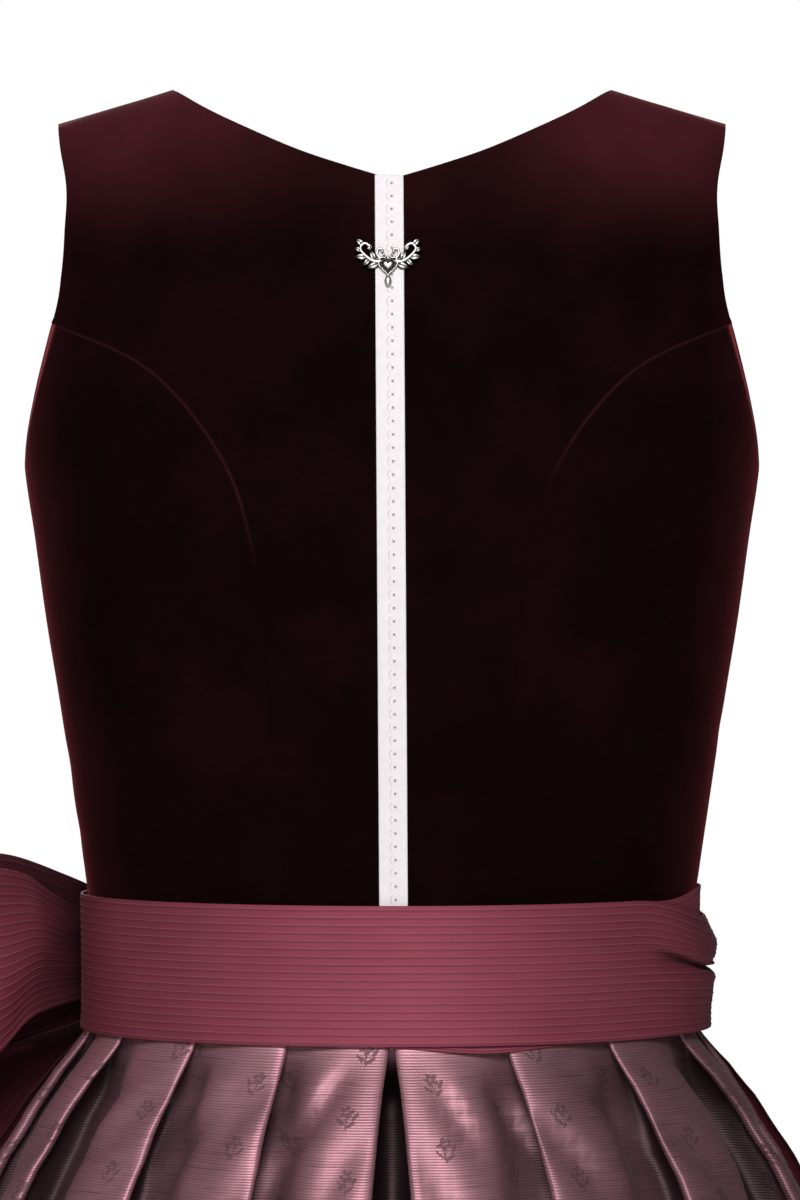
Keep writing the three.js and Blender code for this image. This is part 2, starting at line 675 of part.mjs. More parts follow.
function addSash() {
  const join = SASH_SPAN.join;
  const partedBy = SEAM_GAP / degreeLength(WAIST_RING, join, SASH_BOTTOM);
  const knot = 2 * CENTRE_FRONT + SASH_SPAN.knot;
  add('sash_back', sashWall(SASH_SPAN.knot, join, SASH_COLUMNS.back), 'satin');
  add('sash_front', sashWall(join + partedBy, knot - partedBy, SASH_COLUMNS.front), 'satin');
  add('sash_under', underSashWall(SASH_COLUMNS.under), 'satin');
}

// How far the apron's outer face stands off the skirt's oval, at the top of a gather
function apronLift(angle, height) {
  const step = column(SKIRT, 'step', rowOf(SKIRT, height));
  const at = rowOf(APRON, height);
  const clear = column(APRON, 'clear', at);
  const wave = column(APRON, 'wave', at);
  const share = (angle - APRON_SPAN.from) / (APRON_SPAN.to - APRON_SPAN.from);
  const gather = 1 + Math.cos(2 * Math.PI * APRON_WAVES * share);
  return 2 * step + SKIRT_WALL / 2 + clear + APRON_WALL + wave * gather;
}

function apronCrest(height) {
  return apronLift(APRON_SPAN.from, height);
}

function addApron() {
  const outer = [];
  const inner = [];
  const columns = 4 * APRON_WAVES;
  const between = SKIRT.map((row) => row.height).filter((height) => height < APRON_TOP && height > APRON_HEM);
  for (const height of [APRON_TOP, ...between, APRON_HEM]) {
    const line = { outer: [], inner: [] };
    for (let step = 0; step <= columns; step += 1) {
      const angle = lerp(APRON_SPAN.from, APRON_SPAN.to, step / columns);
      const lift = apronLift(angle, height);
      line.outer.push(ovalPoint(SKIRT, angle, height, lift));
      line.inner.push(ovalPoint(SKIRT, angle, height, lift - APRON_WALL));
    }
    outer.push(line.outer);
    inner.push(line.inner);
  }
  add('apron', shell(outer, inner), 'apron');
}

// The bow's own frame: the middle of the sash under the knot, with one axis along the waist and one out of it
const KNOT_SEAT = ovalPoint(WAIST_RING, KNOT_ANGLE, KNOT_HEIGHT, SASH_LIFT + SASH_WALL);
const KNOT_OUT = KNOT_SEAT.clone().sub(ovalPoint(WAIST_RING, KNOT_ANGLE, KNOT_HEIGHT, 0)).normalize();
const KNOT_ALONG = new THREE.Vector3(-KNOT_OUT.y, KNOT_OUT.x, 0);

function bowPoint(along, out, height) {
  const point = KNOT_SEAT.clone().addScaledVector(KNOT_ALONG, along).addScaledVector(KNOT_OUT, out);
  return point.setZ(height);
}

// The knot: a plump wrap with shallow creases up its height
function addKnot() {
  const points = [];
  const index = [];
  const middle = (KNOT.near + KNOT.far) / 2;
  const thick = (KNOT.far - KNOT.near) / 2;
  const power = 2 / KNOT.square;
  for (let row = 1; row < KNOT.rows; row += 1) {
    const lean = Math.PI * (row / KNOT.rows - 0.5);
    const size = Math.cos(lean) ** power;
    const height = KNOT_HEIGHT + KNOT.tall * Math.sign(lean) * Math.abs(Math.sin(lean)) ** power;
    for (let place = 0; place < KNOT.columns; place += 1) {
      const turn = (2 * Math.PI * place) / KNOT.columns;
      const sine = Math.sin(turn);
      const cosine = Math.cos(turn);
      const crease = place % 2 === 0 && cosine > 0.5 ? KNOT.crease : 0;
      const along = KNOT.half * size * Math.sign(sine) * Math.abs(sine) ** power;
      const out = middle + (thick * Math.sign(cosine) * Math.abs(cosine) ** power - crease) * size;
      points.push(bowPoint(along, out, height));
    }
  }
  const low = points.push(bowPoint(0, middle, KNOT_HEIGHT - KNOT.tall)) - 1;
  const high = points.push(bowPoint(0, middle, KNOT_HEIGHT + KNOT.tall)) - 1;
  const top = (KNOT.rows - 2) * KNOT.columns;
  for (let place = 0; place < KNOT.columns; place += 1) {
    const next = (place + 1) % KNOT.columns;
    index.push(low, next, place, high, top + place, top + next);
    for (let row = 0; row < top; row += KNOT.columns) {
      index.push(row + place, row + next, row + KNOT.columns + next);
      index.push(row + place, row + KNOT.columns + next, row + KNOT.columns + place);
    }
  }
  add('bow_knot', solid(points, index), 'satin');
}

// A bow loop; side 1 points to the back, side -1 to the front
function addLoop(name, side) {
  const outer = [];
  const inner = [];
  const rows = resampled(BOW_LOOP, ['along', 'out', 'low', 'high'], LOOP_STEPS);
  rows.forEach((row, index) => {
    const before = rows[Math.max(index - 1, 0)];
    const after = rows[Math.min(index + 1, LOOP_STEPS)];
    const run = new THREE.Vector2(after.along - before.along, after.out - before.out).normalize();
    const open = smooth(row.along, BOW_LOOP[0].along, BOW_LOOP[2].along);
    const line = { outer: [], inner: [] };
    for (let step = 0; step < LOOP_COLUMNS; step += 1) {
      const up = step / (LOOP_COLUMNS - 1);
      const cup = LOOP_CUP * open * Math.sin(Math.PI * up);
      const height = lerp(row.low, row.high, up);
      for (const [face, off] of [['outer', RIBBON_WALL / 2], ['inner', -RIBBON_WALL / 2]]) {
        const along = row.along - run.y * (cup + off);
        const out = row.out + run.x * (cup + off);
        line[face].push(bowPoint(side * along, out, height));
      }
    }
    outer.push(line.outer);
    inner.push(line.inner);
  });
  add(name, shell(outer, inner), 'satin');
}

// A ribbon end that hangs from the knot over the apron and the skirt, cut at a slant
function addTail(name, table, slant) {
  const outer = [];
  const inner = [];
  resampled(table, ['height', 'angle', 'width', 'clear'], TAIL_STEPS).forEach((row, index) => {
    const line = { outer: [], inner: [] };
    for (let step = 0; step < TAIL_COLUMNS; step += 1) {
      const across = step / (TAIL_COLUMNS - 1) - 0.5;
      const slide = (index / TAIL_STEPS) ** 4 * slant * across;
      const height = row.height + slide;
      const angle = row.angle + (across * row.width) / degreeLength(SKIRT, row.angle, height);
      const ripple = TAIL_RIPPLE * Math.cos(2 * Math.PI * TAIL_WAVES * across) * (index / TAIL_STEPS);
      const lift = apronCrest(height) + row.clear + ripple;
      line.inner.push(ovalPoint(SKIRT, angle, height, lift));
      line.outer.push(ovalPoint(SKIRT, angle, height, lift + RIBBON_WALL));
    }
    outer.push(line.outer);
    inner.push(line.inner);
  });
  add(name, shell(outer, inner), 'satin');
}

function addBow() {
  addKnot();
  addLoop('bow_loop_outer', 1);
  addLoop('bow_loop_inner', -1);
  addTail('bow_tail_outer', OUTER_TAIL, TAIL_SLANT);
  addTail('bow_tail_inner', INNER_TAIL, -TAIL_SLANT);
}

function addLace() {
  const outer = [];
  const inner = [];
  for (let row = 0; row <= LACE.rows; row += 1) {
    const height = lerp(LACE_END, CENTRE_BACK_LINE.at(-1).height, row / LACE.rows);
    const line = { outer: [], inner: [] };
    for (let step = 0; step <= LACE.columns; step += 1) {
      const share = (2 * step) / LACE.columns - 1;
      const place = onTorso({ across: LACE.half * Math.abs(share), height }, false);
      const angle = place.angle * Math.sign(share);
      const point = torsoPoint(angle, place.level);
      const normal = torsoNormal(angle, place.level);
      line.inner.push(point.clone().addScaledVector(normal, LACE.lift));
      line.outer.push(point.clone().addScaledVector(normal, LACE.lift + LACE_WALL));
    }
    outer.push(line.outer);
    inner.push(line.inner);
  }
  add('back_lace', shell(outer, inner), 'lace');
}

// Manifold solids of plain geometries, for joining
function toManifold(wasm, geometry) {
  const plain = geometry.index ? geometry.clone() : geometry;
  plain.deleteAttribute('normal');
  plain.deleteAttribute('uv');
  const merged = mergeVertices(plain, 1e-4);
  return new wasm.Manifold(new wasm.Mesh({
    numProp: 3,
    vertProperties: merged.attributes.position.array,
    triVerts: merged.index.array,
  }));
}

function heartShape() {
  const heart = new THREE.Shape();
  const { half, dip, lobe, brow, widest, flank, chin, tip } = CHARM_HEART;
  const [inward, bulge, taper] = ['inward', 'bulge', 'taper'].map((name) => half * CHARM_HEART_PULL[name]);
  heart.moveTo(0, dip);
  heart.bezierCurveTo(inward, lobe, bulge, brow, half, widest);
  heart.bezierCurveTo(taper, flank, inward, chin, 0, tip);
  heart.bezierCurveTo(-inward, chin, -taper, flank, -half, widest);
  heart.bezierCurveTo(-bulge, brow, -inward, lobe, 0, dip);
  return heart;
}

function leafShape({ length, width }) {
  const leaf = new THREE.Shape();
  const bend = length * CHARM_LEAF.bend;
  const plump = width * CHARM_LEAF.plump;
  leaf.moveTo(-length / 2, 0);
  leaf.quadraticCurveTo(bend, plump, length / 2, 0);
  leaf.quadraticCurveTo(bend, -plump, -length / 2, 0);
  return leaf;
}

// One spray of the charm: a curling stem with leaves
function sprayPieces(side) {
  const route = CHARM_SPRAY.map((p) => new THREE.Vector3(side * p.across, p.height, CHARM.thick));
  const ring = Array.from({ length: CHARM_STEM.sides }, (unused, step) => {
    const turn = (2 * Math.PI * step) / CHARM_STEM.sides;
    return new THREE.Vector2(CHARM_STEM.half * Math.cos(turn), CHARM_STEM.half * Math.sin(turn));
  });
  const stem = new THREE.ExtrudeGeometry(new THREE.Shape(ring), {
    steps: CHARM_STEM.steps,
    extrudePath: new THREE.CatmullRomCurve3(route),
  });
  const leaves = CHARM_LEAVES.map((row) => {
    const leaf = new THREE.ExtrudeGeometry(leafShape(row), {
      depth: CHARM.thick,
      bevelEnabled: false,
      curveSegments: CHARM_LEAF.curveSteps,
    });
    leaf.rotateZ(radians(side * row.turn + (side < 0 ? CENTRE_FRONT : 0)));
    leaf.translate(side * row.across, row.height, CHARM_LEAF.lift);
    return leaf;
  });
  return [stem, ...leaves];
}

async function addCharm() {
  const wasm = await Module();
  wasm.setup();
  const heart = new THREE.ExtrudeGeometry(heartShape(), {
    depth: CHARM.thick,
    bevelThickness: CHARM.bevel,
    bevelSize: CHARM.bevel,
    bevelSegments: 1,
    curveSegments: CHARM.curveSteps,
  });
  heart.translate(0, 0, CHARM.bevel);
  const drop = new THREE.SphereGeometry(CHARM_DROP.radius, CHARM_DROP.around, CHARM_DROP.rings);
  drop.scale(1, CHARM_DROP.stretch, CHARM_DROP.flatten);
  drop.translate(0, CHARM_DROP.height, CHARM_DROP.lift);
  const pieces = [drop, ...sprayPieces(1), ...sprayPieces(-1)];
  const joined = pieces.reduce((sum, piece) => sum.add(toManifold(wasm, piece)), toManifold(wasm, heart));
  const mesh = joined.getMesh();
  const geometry = new THREE.BufferGeometry();
  geometry.setAttribute('position', new THREE.BufferAttribute(mesh.vertProperties, 3));
  geometry.setIndex(new THREE.BufferAttribute(mesh.triVerts, 1));
  geometry.computeBoundingBox();
  const flat = CHARM.depth / (geometry.boundingBox.max.z - geometry.boundingBox.min.z);
  geometry.translate(0, 0, -geometry.boundingBox.min.z);
  geometry.scale(1, 1, flat);
  geometry.computeVertexNormals();
  const place = onTorso({ across: 0, height: CHARM.height }, false);
  const normal = torsoNormal(place.angle, place.level);
  const charm = add('charm', geometry, 'silver');
  charm.position.copy(torsoPoint(place.angle, place.level)).addScaledVector(normal, CHARM.lift);
  charm.position.x += CHARM.across;
  charm.rotation.setFromRotationMatrix(new THREE.Matrix4().makeBasis(
    new THREE.Vector3(1, 0, 0),
    normal.clone().cross(new THREE.Vector3(1, 0, 0)),
    normal,
  ));
}

addBodice();
addSkirt();
addSash();
addApron();
addBow();
addLace();
await addCharm();

export default dress;
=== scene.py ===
"""A worn, hollow dirndl dress seen from behind, dressed in velvet, jacquard, ribbed satin and lace.

Sizes are in millimetres and angles in degrees, until a mesh is made in metres.
Angles go round the body: 0 at centre back, 90 at the wearer's right side, 180 at centre front.
"""

from __future__ import annotations

import logging
import math
from dataclasses import dataclass, field
from enum import Enum
from typing import Sequence

import bpy
import numpy as np
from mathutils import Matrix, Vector

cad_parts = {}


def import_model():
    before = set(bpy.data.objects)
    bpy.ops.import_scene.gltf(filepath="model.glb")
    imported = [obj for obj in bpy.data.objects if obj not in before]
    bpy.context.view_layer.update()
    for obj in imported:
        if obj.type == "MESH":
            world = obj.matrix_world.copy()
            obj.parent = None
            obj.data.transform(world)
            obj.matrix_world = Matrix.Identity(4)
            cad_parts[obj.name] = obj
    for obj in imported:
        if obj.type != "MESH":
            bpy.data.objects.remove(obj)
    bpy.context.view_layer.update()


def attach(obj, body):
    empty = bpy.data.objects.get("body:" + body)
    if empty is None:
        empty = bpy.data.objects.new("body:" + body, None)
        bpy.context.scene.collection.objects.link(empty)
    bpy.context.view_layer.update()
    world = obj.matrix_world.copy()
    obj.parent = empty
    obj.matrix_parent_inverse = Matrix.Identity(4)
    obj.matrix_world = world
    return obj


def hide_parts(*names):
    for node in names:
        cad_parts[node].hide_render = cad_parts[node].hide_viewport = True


Array = np.ndarray
Values = Array | float
Grids = tuple[Array, Array]
Pair = tuple[float, float]
Numbers = tuple[float, ...]
Colour = tuple[float, float, float]
Thing = bpy.types.Object
Material = bpy.types.Material
Socket = bpy.types.NodeSocket
Amount = "Signal | float"

MM = 0.001
ROOT = "root"
CENTRE_FRONT = 180.0
SEAM_GAP = -0.3
RIBBON = 67.0
RIB_COUNT = 18
HANG_SHARE = 1.03
LOG = logging.getLogger("dirndl")


class Side(Enum):
    """The two halves of the dress, by the wearer's hand; the value is the sign of x."""

    RIGHT = 1
    LEFT = -1

    @property
    def word(self) -> str:
        """The side's name as the nodes spell it."""
        return self.name.lower()


def smooth(value: Values, low: float, high: float) -> Array:
    """A soft step from 0 at low to 1 at high."""
    share = np.clip((np.asarray(value, float) - low) / (high - low), 0, 1)
    return share * share * (3 - 2 * share)


def lerp(start: Values, end: Values, share: Values) -> Array:
    """The point that lies a share of the way from start to end."""
    return start + (end - start) * share


def bump(value: Values, middle: float, reach: float) -> Array:
    """A soft hump of height 1 round middle."""
    away = (np.asarray(value, float) - middle) / reach
    return np.exp(-away * away)


class Table:
    """Rows of named sizes, read between the rows on a smooth curve."""

    def __init__(self, names: str, *rows: Numbers) -> None:
        """Keeps the rows.

        Args:
            names: the column names, parted by spaces.
            rows: one tuple for each row.
        """
        self.names = names.split()
        self.rows = np.array(rows, float)

    @property
    def last(self) -> int:
        """The number of the last row."""
        return len(self.rows) - 1

    def read(self, name: str, at: Values) -> Array:
        """Reads a column at row numbers that may have a fraction.

        Args:
            name: the column.
            at: the row numbers.

        Returns:
            The values on a smooth curve through the rows.
        """
        data = self.rows[:, self.names.index(name)]
        padded = np.concatenate([[2 * data[0] - data[1]], data, [2 * data[-1] - data[-2]]])
        at = np.asarray(at, float)
        row = np.clip(np.floor(at).astype(int), 0, self.last - 1)
        part = at - row
        before, start, end, after = (padded[row + step] for step in range(4))
        bend = 3 * (start - end) + after - before
        curve = 2 * before - 5 * start + 4 * end - after
        return start + 0.5 * part * (end - before + part * (curve + part * bend))

    def row_of(self, name: str, value: Values) -> Array:
        """The row number, with a fraction, where a column that only rises or falls has a value."""
        data = self.rows[:, self.names.index(name)]
        sign = 1.0 if data[-1] > data[0] else -1.0
        value = np.asarray(value, float)
        row = np.clip(np.searchsorted(sign * data, sign * value, side="right") - 1, 0, self.last - 1)
        return row + (value - data[row]) / (data[row + 1] - data[row])

    def spread(self, names: Sequence[str], steps: int) -> list[Array]:
        """The named columns at evenly spaced rows from the first to the last."""
        at = np.linspace(0, self.last, steps + 1)
        return [self.read(name, at) for name in names]


TORSO = Table(
    "height half back front square",
    (-438, 149, 97, 101, 2), (-401, 152, 96.5, 103, 2), (-355, 158.5, 98, 109, 2.05),
    (-305, 166, 101.5, 120, 2.1), (-265, 172.5, 105, 130, 2.15), (-225, 178, 108, 128, 2.2),
    (-185, 183.5, 110, 117, 2.25), (-148, 183, 110, 105, 2.3), (-114, 181.5, 107.5, 94, 2.3),
    (-84, 179.5, 102, 84, 2.35), (-58, 177.5, 93, 74, 2.4), (-36, 175.5, 79, 62, 2.4),
    (-18, 174, 60, 47, 2.4), (-5, 172.5, 33, 27, 2.4), (0, 172, 0.3, 0.3, 2.4),
)
SHOULDER_SLOPE = 0.3
NECK_SPREAD = 113.8
NECK_ROUNDING = 25.0
SHOULDER_RISE = (-200.0, -60.0)
HALVINGS = 36


class Torso:
    """The bodice surface, by angle round the body and by level, a row number of TORSO."""

    @staticmethod
    def point(angle: Values, level: Values) -> Array:
        """Points of the surface.

        Args:
            angle: the angles round the body.
            level: the levels.

        Returns:
            The points, with x, y and z in the last axis.
        """
        power = 2 / TORSO.read("square", level)
        sine = np.sin(np.radians(angle))
        cosine = np.cos(np.radians(angle))
        depth = np.where(cosine < 0, TORSO.read("front", level), -TORSO.read("back", level))
        across = TORSO.read("half", level) * np.sign(sine) * np.abs(sine) ** power
        height = TORSO.read("height", level)
        rise = SHOULDER_SLOPE * (NECK_SPREAD - np.hypot(across, NECK_ROUNDING))
        lifted = height + rise * smooth(height, *SHOULDER_RISE)
        return np.stack(np.broadcast_arrays(across, depth * np.abs(cosine) ** power, lifted), -1)

    @staticmethod
    def normal(angle: Values, level: Values) -> Array:
        """The way out of the surface; it stands upright on the shoulder seam.

        Args:
            angle: the angles round the body.
            level: the levels.

        Returns:
            Directions of length 1.
        """
        turn, rise = 0.4, 0.08
        around = Torso.point(angle + turn, level) - Torso.point(angle - turn, level)
        up = Torso.point(angle, level + rise) - Torso.point(angle, level - rise)
        out = unit(np.cross(around, up))
        flat = out * np.array([1, 0, 1])
        share = smooth(level, TORSO.last - 0.3, TORSO.last)[..., None]
        return unit(lerp(out, flat, share))

    @staticmethod
    def seat(across: Array | None, angle: Array | None, height: Array, front: bool) -> Grids:
        """Finds points of the surface from their height.

        Args:
            across: their distances from the centre, or None where the angles are known.
            angle: their angles, or None.
            height: their heights.
            front: whether they lie on the front half.

        Returns:
            The angles and the levels.
        """
        low = np.full(np.shape(height), -0.5)
        high = np.full(np.shape(height), float(TORSO.last))
        found = np.zeros(np.shape(height)) if angle is None else angle
        for _ in range(HALVINGS):
            middle = (low + high) / 2
            if across is not None:
                share = np.minimum(across / TORSO.read("half", middle), 1)
                found = np.degrees(np.arcsin(share ** (TORSO.read("square", middle) / 2)))
                found = CENTRE_FRONT - found if front else found
            below = Torso.point(found, middle)[..., 2] < height
            low = np.where(below, middle, low)
            high = np.where(below, high, middle)
        return found, (low + high) / 2


def unit(vectors: Array) -> Array:
    """The same directions with length 1."""
    length = np.linalg.norm(vectors, axis=-1, keepdims=True)
    return vectors / np.maximum(length, 1e-9)


WAIST_RING = Table(
    "height half back front",
    (-395, 153.6, 98.4, 105.5), (-401, 152.9, 98.4, 104.6), (-438, 152.6, 100, 106),
    (-468, 153.4, 102.6, 108.5), (-476, 159, 108, 114),
)
SKIRT = Table(
    "height half back front step overlap centre",
    (-438.3, 145.5, 94, 97, 1.9, 6.5, 0.4), (-468, 148.4, 97.4, 100.6, 1.9, 6.5, 0.6),
    (-476, 153.2, 101.3, 104.3, 2.2, 6.2, 1), (-487, 161.3, 107.8, 110.8, 2.7, 5.8, 1.6),
    (-505, 172.5, 118, 121, 3.4, 5, 2.2), (-532, 188, 132, 136, 4.2, 3.8, 2.8),
    (-575, 210, 152, 157, 5.4, 1.8, 3.4), (-645, 242, 183, 189, 7.2, -0.8, 4),
    (-750, 280, 222, 229, 9.7, -2.8, 4.5), (-890, 320, 265, 272, 12.5, -4.3, 5),
    (-1090, 362, 316, 323, 15, -5.5, 5.5),
)


def oval_point(table: Table, angle: Values, height: Values, lift: Values) -> Array:
    """Points on the ovals of a table, lifted straight out of them.

    Args:
        table: the ovals, by height.
        angle: the angles round the body.
        height: the heights.
        lift: how far each point stands off its oval.

    Returns:
        The points, with x, y and z in the last axis.
    """
    at = table.row_of("height", height)
    half = table.read("half", at)
    sine = np.sin(np.radians(angle))
    cosine = np.cos(np.radians(angle))
    depth = np.where(cosine < 0, table.read("front", at), table.read("back", at))
    out = unit(np.stack(np.broadcast_arrays(sine / half, -cosine / depth), -1))
    across = half * sine + lift * out[..., 0]
    along = -depth * cosine + lift * out[..., 1]
    return np.stack(np.broadcast_arrays(across, along, np.asarray(height, float)), -1)


def degree_length(table: Table, angle: Values, height: Values) -> Array:
    """Millimetres along an oval for each degree."""
    at = table.row_of("height", height)
    depth = np.where(np.cos(np.radians(angle)) < 0, table.read("front", at), table.read("back", at))
    across = table.read("half", at) * np.cos(np.radians(angle))
    return np.radians(np.hypot(across, depth * np.sin(np.radians(angle))))


@dataclass
class Wall:
    """A cloth wall on a grid of points, with rows up it and columns across it."""

    outer: Array
    inner: Array
    uv: Array
    marks: dict[str, Array] = field(default_factory=dict)

    def build(self, name: str) -> Thing:
        """Makes the closed shell as a mesh object at the origin.

        Args:
            name: the object's name.

        Returns:
            The new object.
        """
        rows, columns = self.outer.shape[:2]
        count = rows * columns
        number = np.arange(count).reshape(rows, columns)
        outer = np.stack([number[:-1, :-1], number[:-1, 1:], number[1:, 1:], number[1:, :-1]], -1)
        quads = [outer.reshape(-1, 4), outer.reshape(-1, 4)[:, ::-1] + count]
        ring = np.concatenate([number[0], number[1:, -1], number[-1, -2::-1], number[-2:0:-1, 0]])
        after = np.roll(ring, -1)
        quads.append(np.stack([after, ring, ring + count, after + count], -1))
        places = np.concatenate([self.outer.reshape(-1, 3), self.inner.reshape(-1, 3)])
        faces = np.concatenate(quads)
        if signed_volume(places, faces) < 0:
            faces = faces[:, ::-1]
        thing = mesh_object(name, places, faces)
        write_cloth(thing, np.tile(self.uv.reshape(-1, 2), (2, 1)))
        for word, values in self.marks.items():
            write_mark(thing, word, values if values.ndim == 3 else np.stack([values, values]))
        return thing


def write_cloth(thing: Thing, flat: Array) -> None:
    """Stores each point's cloth coordinates, given in millimetres."""
    corners = np.zeros(len(thing.data.loops), np.int32)
    thing.data.loops.foreach_get("vertex_index", corners)
    layer = thing.data.uv_layers.new(name="cloth")
    layer.data.foreach_set("uv", (flat[corners] * MM).astype(np.float32).ravel())


def write_mark(thing: Thing, name: str, values: Array) -> None:
    """Stores a number on each point, for the material to read."""
    mark = thing.data.attributes.new(name, "FLOAT", "POINT")
    mark.data.foreach_set("value", values.ravel().astype(np.float32))


def signed_volume(places: Array, faces: Array) -> float:
    """Six times the volume inside quads, negative where they face inwards."""
    a, b, c, d = (places[faces[:, corner]] for corner in range(4))
    return float(np.einsum("ij,ij->", a, np.cross(b, c)) + np.einsum("ij,ij->", a, np.cross(c, d)))


def tube_faces(rings: int, around: int) -> Array:
    """The quads of rings of points, with both ends closed by strips.

    Args:
        rings: how many rings there are.
        around: the points in each ring, an even number.

    Returns:
        The faces, as rows of four point numbers.
    """
    number = np.arange(rings * around).reshape(rings, around)
    after = np.roll(number, -1, 1)
    sides = np.stack([number[:-1], after[:-1], after[1:], number[1:]], -1).reshape(-1, 4)
    step = np.arange(around // 2 - 1)
    strip = np.stack([step, step + 1, around - 2 - step, around - 1 - step], -1)
    return np.concatenate([sides, number[0][strip][:, ::-1], number[-1][strip]])


def mesh_object(name: str, places: Array, faces: Array) -> Thing:
    """A smooth-shaded mesh object at the origin.

    Args:
        name: the object's name.
        places: its points, in millimetres.
        faces: rows of point numbers, as many in each.

    Returns:
        The new object.
    """
    data = bpy.data.meshes.new(name)
    data.from_pydata([], [], [])
    data.vertices.add(len(places))
    data.vertices.foreach_set("co", (places * MM).astype(np.float32).ravel())
    data.loops.add(faces.size)
    data.loops.foreach_set("vertex_index", faces.astype(np.int32).ravel())
    data.polygons.add(len(faces))
    data.polygons.foreach_set("loop_start", np.arange(0, faces.size, faces.shape[1], dtype=np.int32))
    data.update(calc_edges=True)
    data.validate()
    data.polygons.foreach_set("use_smooth", np.ones(len(data.polygons), bool))
    thing = bpy.data.objects.new(name, data)
    bpy.context.scene.collection.objects.link(thing)
    return thing


def run_across(points: Array) -> Array:
    """How far each point of a grid lies along its row."""
    return np.cumsum(np.linalg.norm(np.diff(points, axis=1, prepend=points[:, :1]), axis=-1), 1)


def edge_share(points: Array, radius: float, floor: float = 0.35) -> Array:
    """How much of its thickness a cloth keeps near its cut edges, which are rounded off.

    Args:
        points: the grid of points of one face.
        radius: how far in from an edge the rounding starts.
        floor: the share left at the edge itself.

    Returns:
        The share at each point.
    """
    across = np.linalg.norm(np.diff(points, axis=1), axis=-1)
    up = np.linalg.norm(np.diff(points, axis=0), axis=-1)
    zero_column = np.zeros((points.shape[0], 1))
    zero_row = np.zeros((1, points.shape[1]))
    left = np.concatenate([zero_column, np.cumsum(across, 1)], 1)
    right = left[:, -1:] - left
    low = np.concatenate([zero_row, np.cumsum(up, 0)], 0)
    high = low[-1:] - low
    away = np.minimum(np.minimum(left, right), np.minimum(low, high))
    share = np.sqrt(1 - (1 - np.clip(away / radius, 0, 1)) ** 2)
    return floor + (1 - floor) * share


def rimmed(steps: int, *rims: float) -> Array:
    """Evenly spaced shares from 0 to 1, with more of them close to both ends for a rounded edge.

    Args:
        steps: the even steps.
        rims: the shares of the added ones.

    Returns:
        The shares in order.
    """
    inside = np.linspace(0, 1, steps + 1)[1:-1]
    near = np.array([0.0, *rims])
    return np.concatenate([near, inside, 1 - near[::-1]])


class Signal:
    """A number in a shader tree that Python's operators work on."""

    def __init__(self, sheet: ShaderSheet, socket: Socket) -> None:
        """Wraps a socket of the sheet's tree."""
        self.sheet = sheet
        self.socket = socket

    def _with(self, operation: str, *values: Amount) -> Signal:
        """Adds the Math node of an operation on these values."""
        return self.sheet.number("ShaderNodeMath", {"operation": operation}, dict(enumerate(values)))

    def __add__(self, other: Amount) -> Signal:
        """The sum."""
        return self._with("ADD", self, other)

    __radd__ = __add__

    def __sub__(self, other: Amount) -> Signal:
        """The difference."""
        return self._with("SUBTRACT", self, other)

    def __rsub__(self, other: Amount) -> Signal:
        """The difference, the other way round."""
        return self._with("SUBTRACT", other, self)

    def __mul__(self, other: Amount) -> Signal:
        """The product."""
        return self._with("MULTIPLY", self, other)

    __rmul__ = __mul__

    def __truediv__(self, other: Amount) -> Signal:
        """The quotient."""
        return self._with("DIVIDE", self, other)

    def __pow__(self, other: Amount) -> Signal:
        """The power."""
        return self._with("POWER", self, other)

    def wave(self) -> Signal:
        """A wave between 0 and 1 that repeats each time the number grows by 1."""
        return self._with("SINE", self * math.tau) * 0.5 + 0.5

    def floor(self) -> Signal:
        """The whole number below."""
        return self._with("FLOOR", self)

    def fraction(self) -> Signal:
        """What is left above the whole number below."""
        return self._with("FRACT", self)

    def size(self) -> Signal:
        """The number without its sign."""
        return self._with("ABSOLUTE", self)

    def least(self, other: Amount) -> Signal:
        """The smaller of two."""
        return self._with("MINIMUM", self, other)

    def most(self, other: Amount) -> Signal:
        """The larger of two."""
        return self._with("MAXIMUM", self, other)

    def cosine(self) -> Signal:
        """The cosine of radians."""
        return self._with("COSINE", self)

    def towards(self, other: Signal) -> Signal:
        """The angle of the point (other, self), in radians."""
        return self._with("ARCTAN2", self, other)

    def step(self, low: float, high: float) -> Signal:
        """A soft step from 0 at low to 1 at high."""
        settings = {"interpolation_type": "SMOOTHSTEP"}
        inputs = {"Value": self, "From Min": low, "From Max": high}
        return self.sheet.number("ShaderNodeMapRange", settings, inputs)


Input = Signal | Socket | float | tuple


class NodeSheet:
    """A node tree that is filled node by node."""

    def __init__(self, tree: bpy.types.NodeTree) -> None:
        """Takes the tree to fill."""
        self.tree = tree

    def node(self, kind: str, settings: dict[str, object], inputs: dict[int | str, Input]) -> bpy.types.Node:
        """Adds a node.

        Args:
            kind: the node's type.
            settings: its properties, set first.
            inputs: its sockets' values or links, by name or number.

        Returns:
            The node.
        """
        made = self.tree.nodes.new(kind)
        for word, value in settings.items():
            setattr(made, word, value)
        for key, value in inputs.items():
            socket = made.inputs[key]
            if isinstance(value, Signal):
                self.tree.links.new(value.socket, socket)
            elif isinstance(value, Socket):
                self.tree.links.new(value, socket)
            elif isinstance(value, tuple) and len(value) == 3 and socket.type == "RGBA":
                socket.default_value = (*value, 1.0)
            else:
                socket.default_value = value
        return made


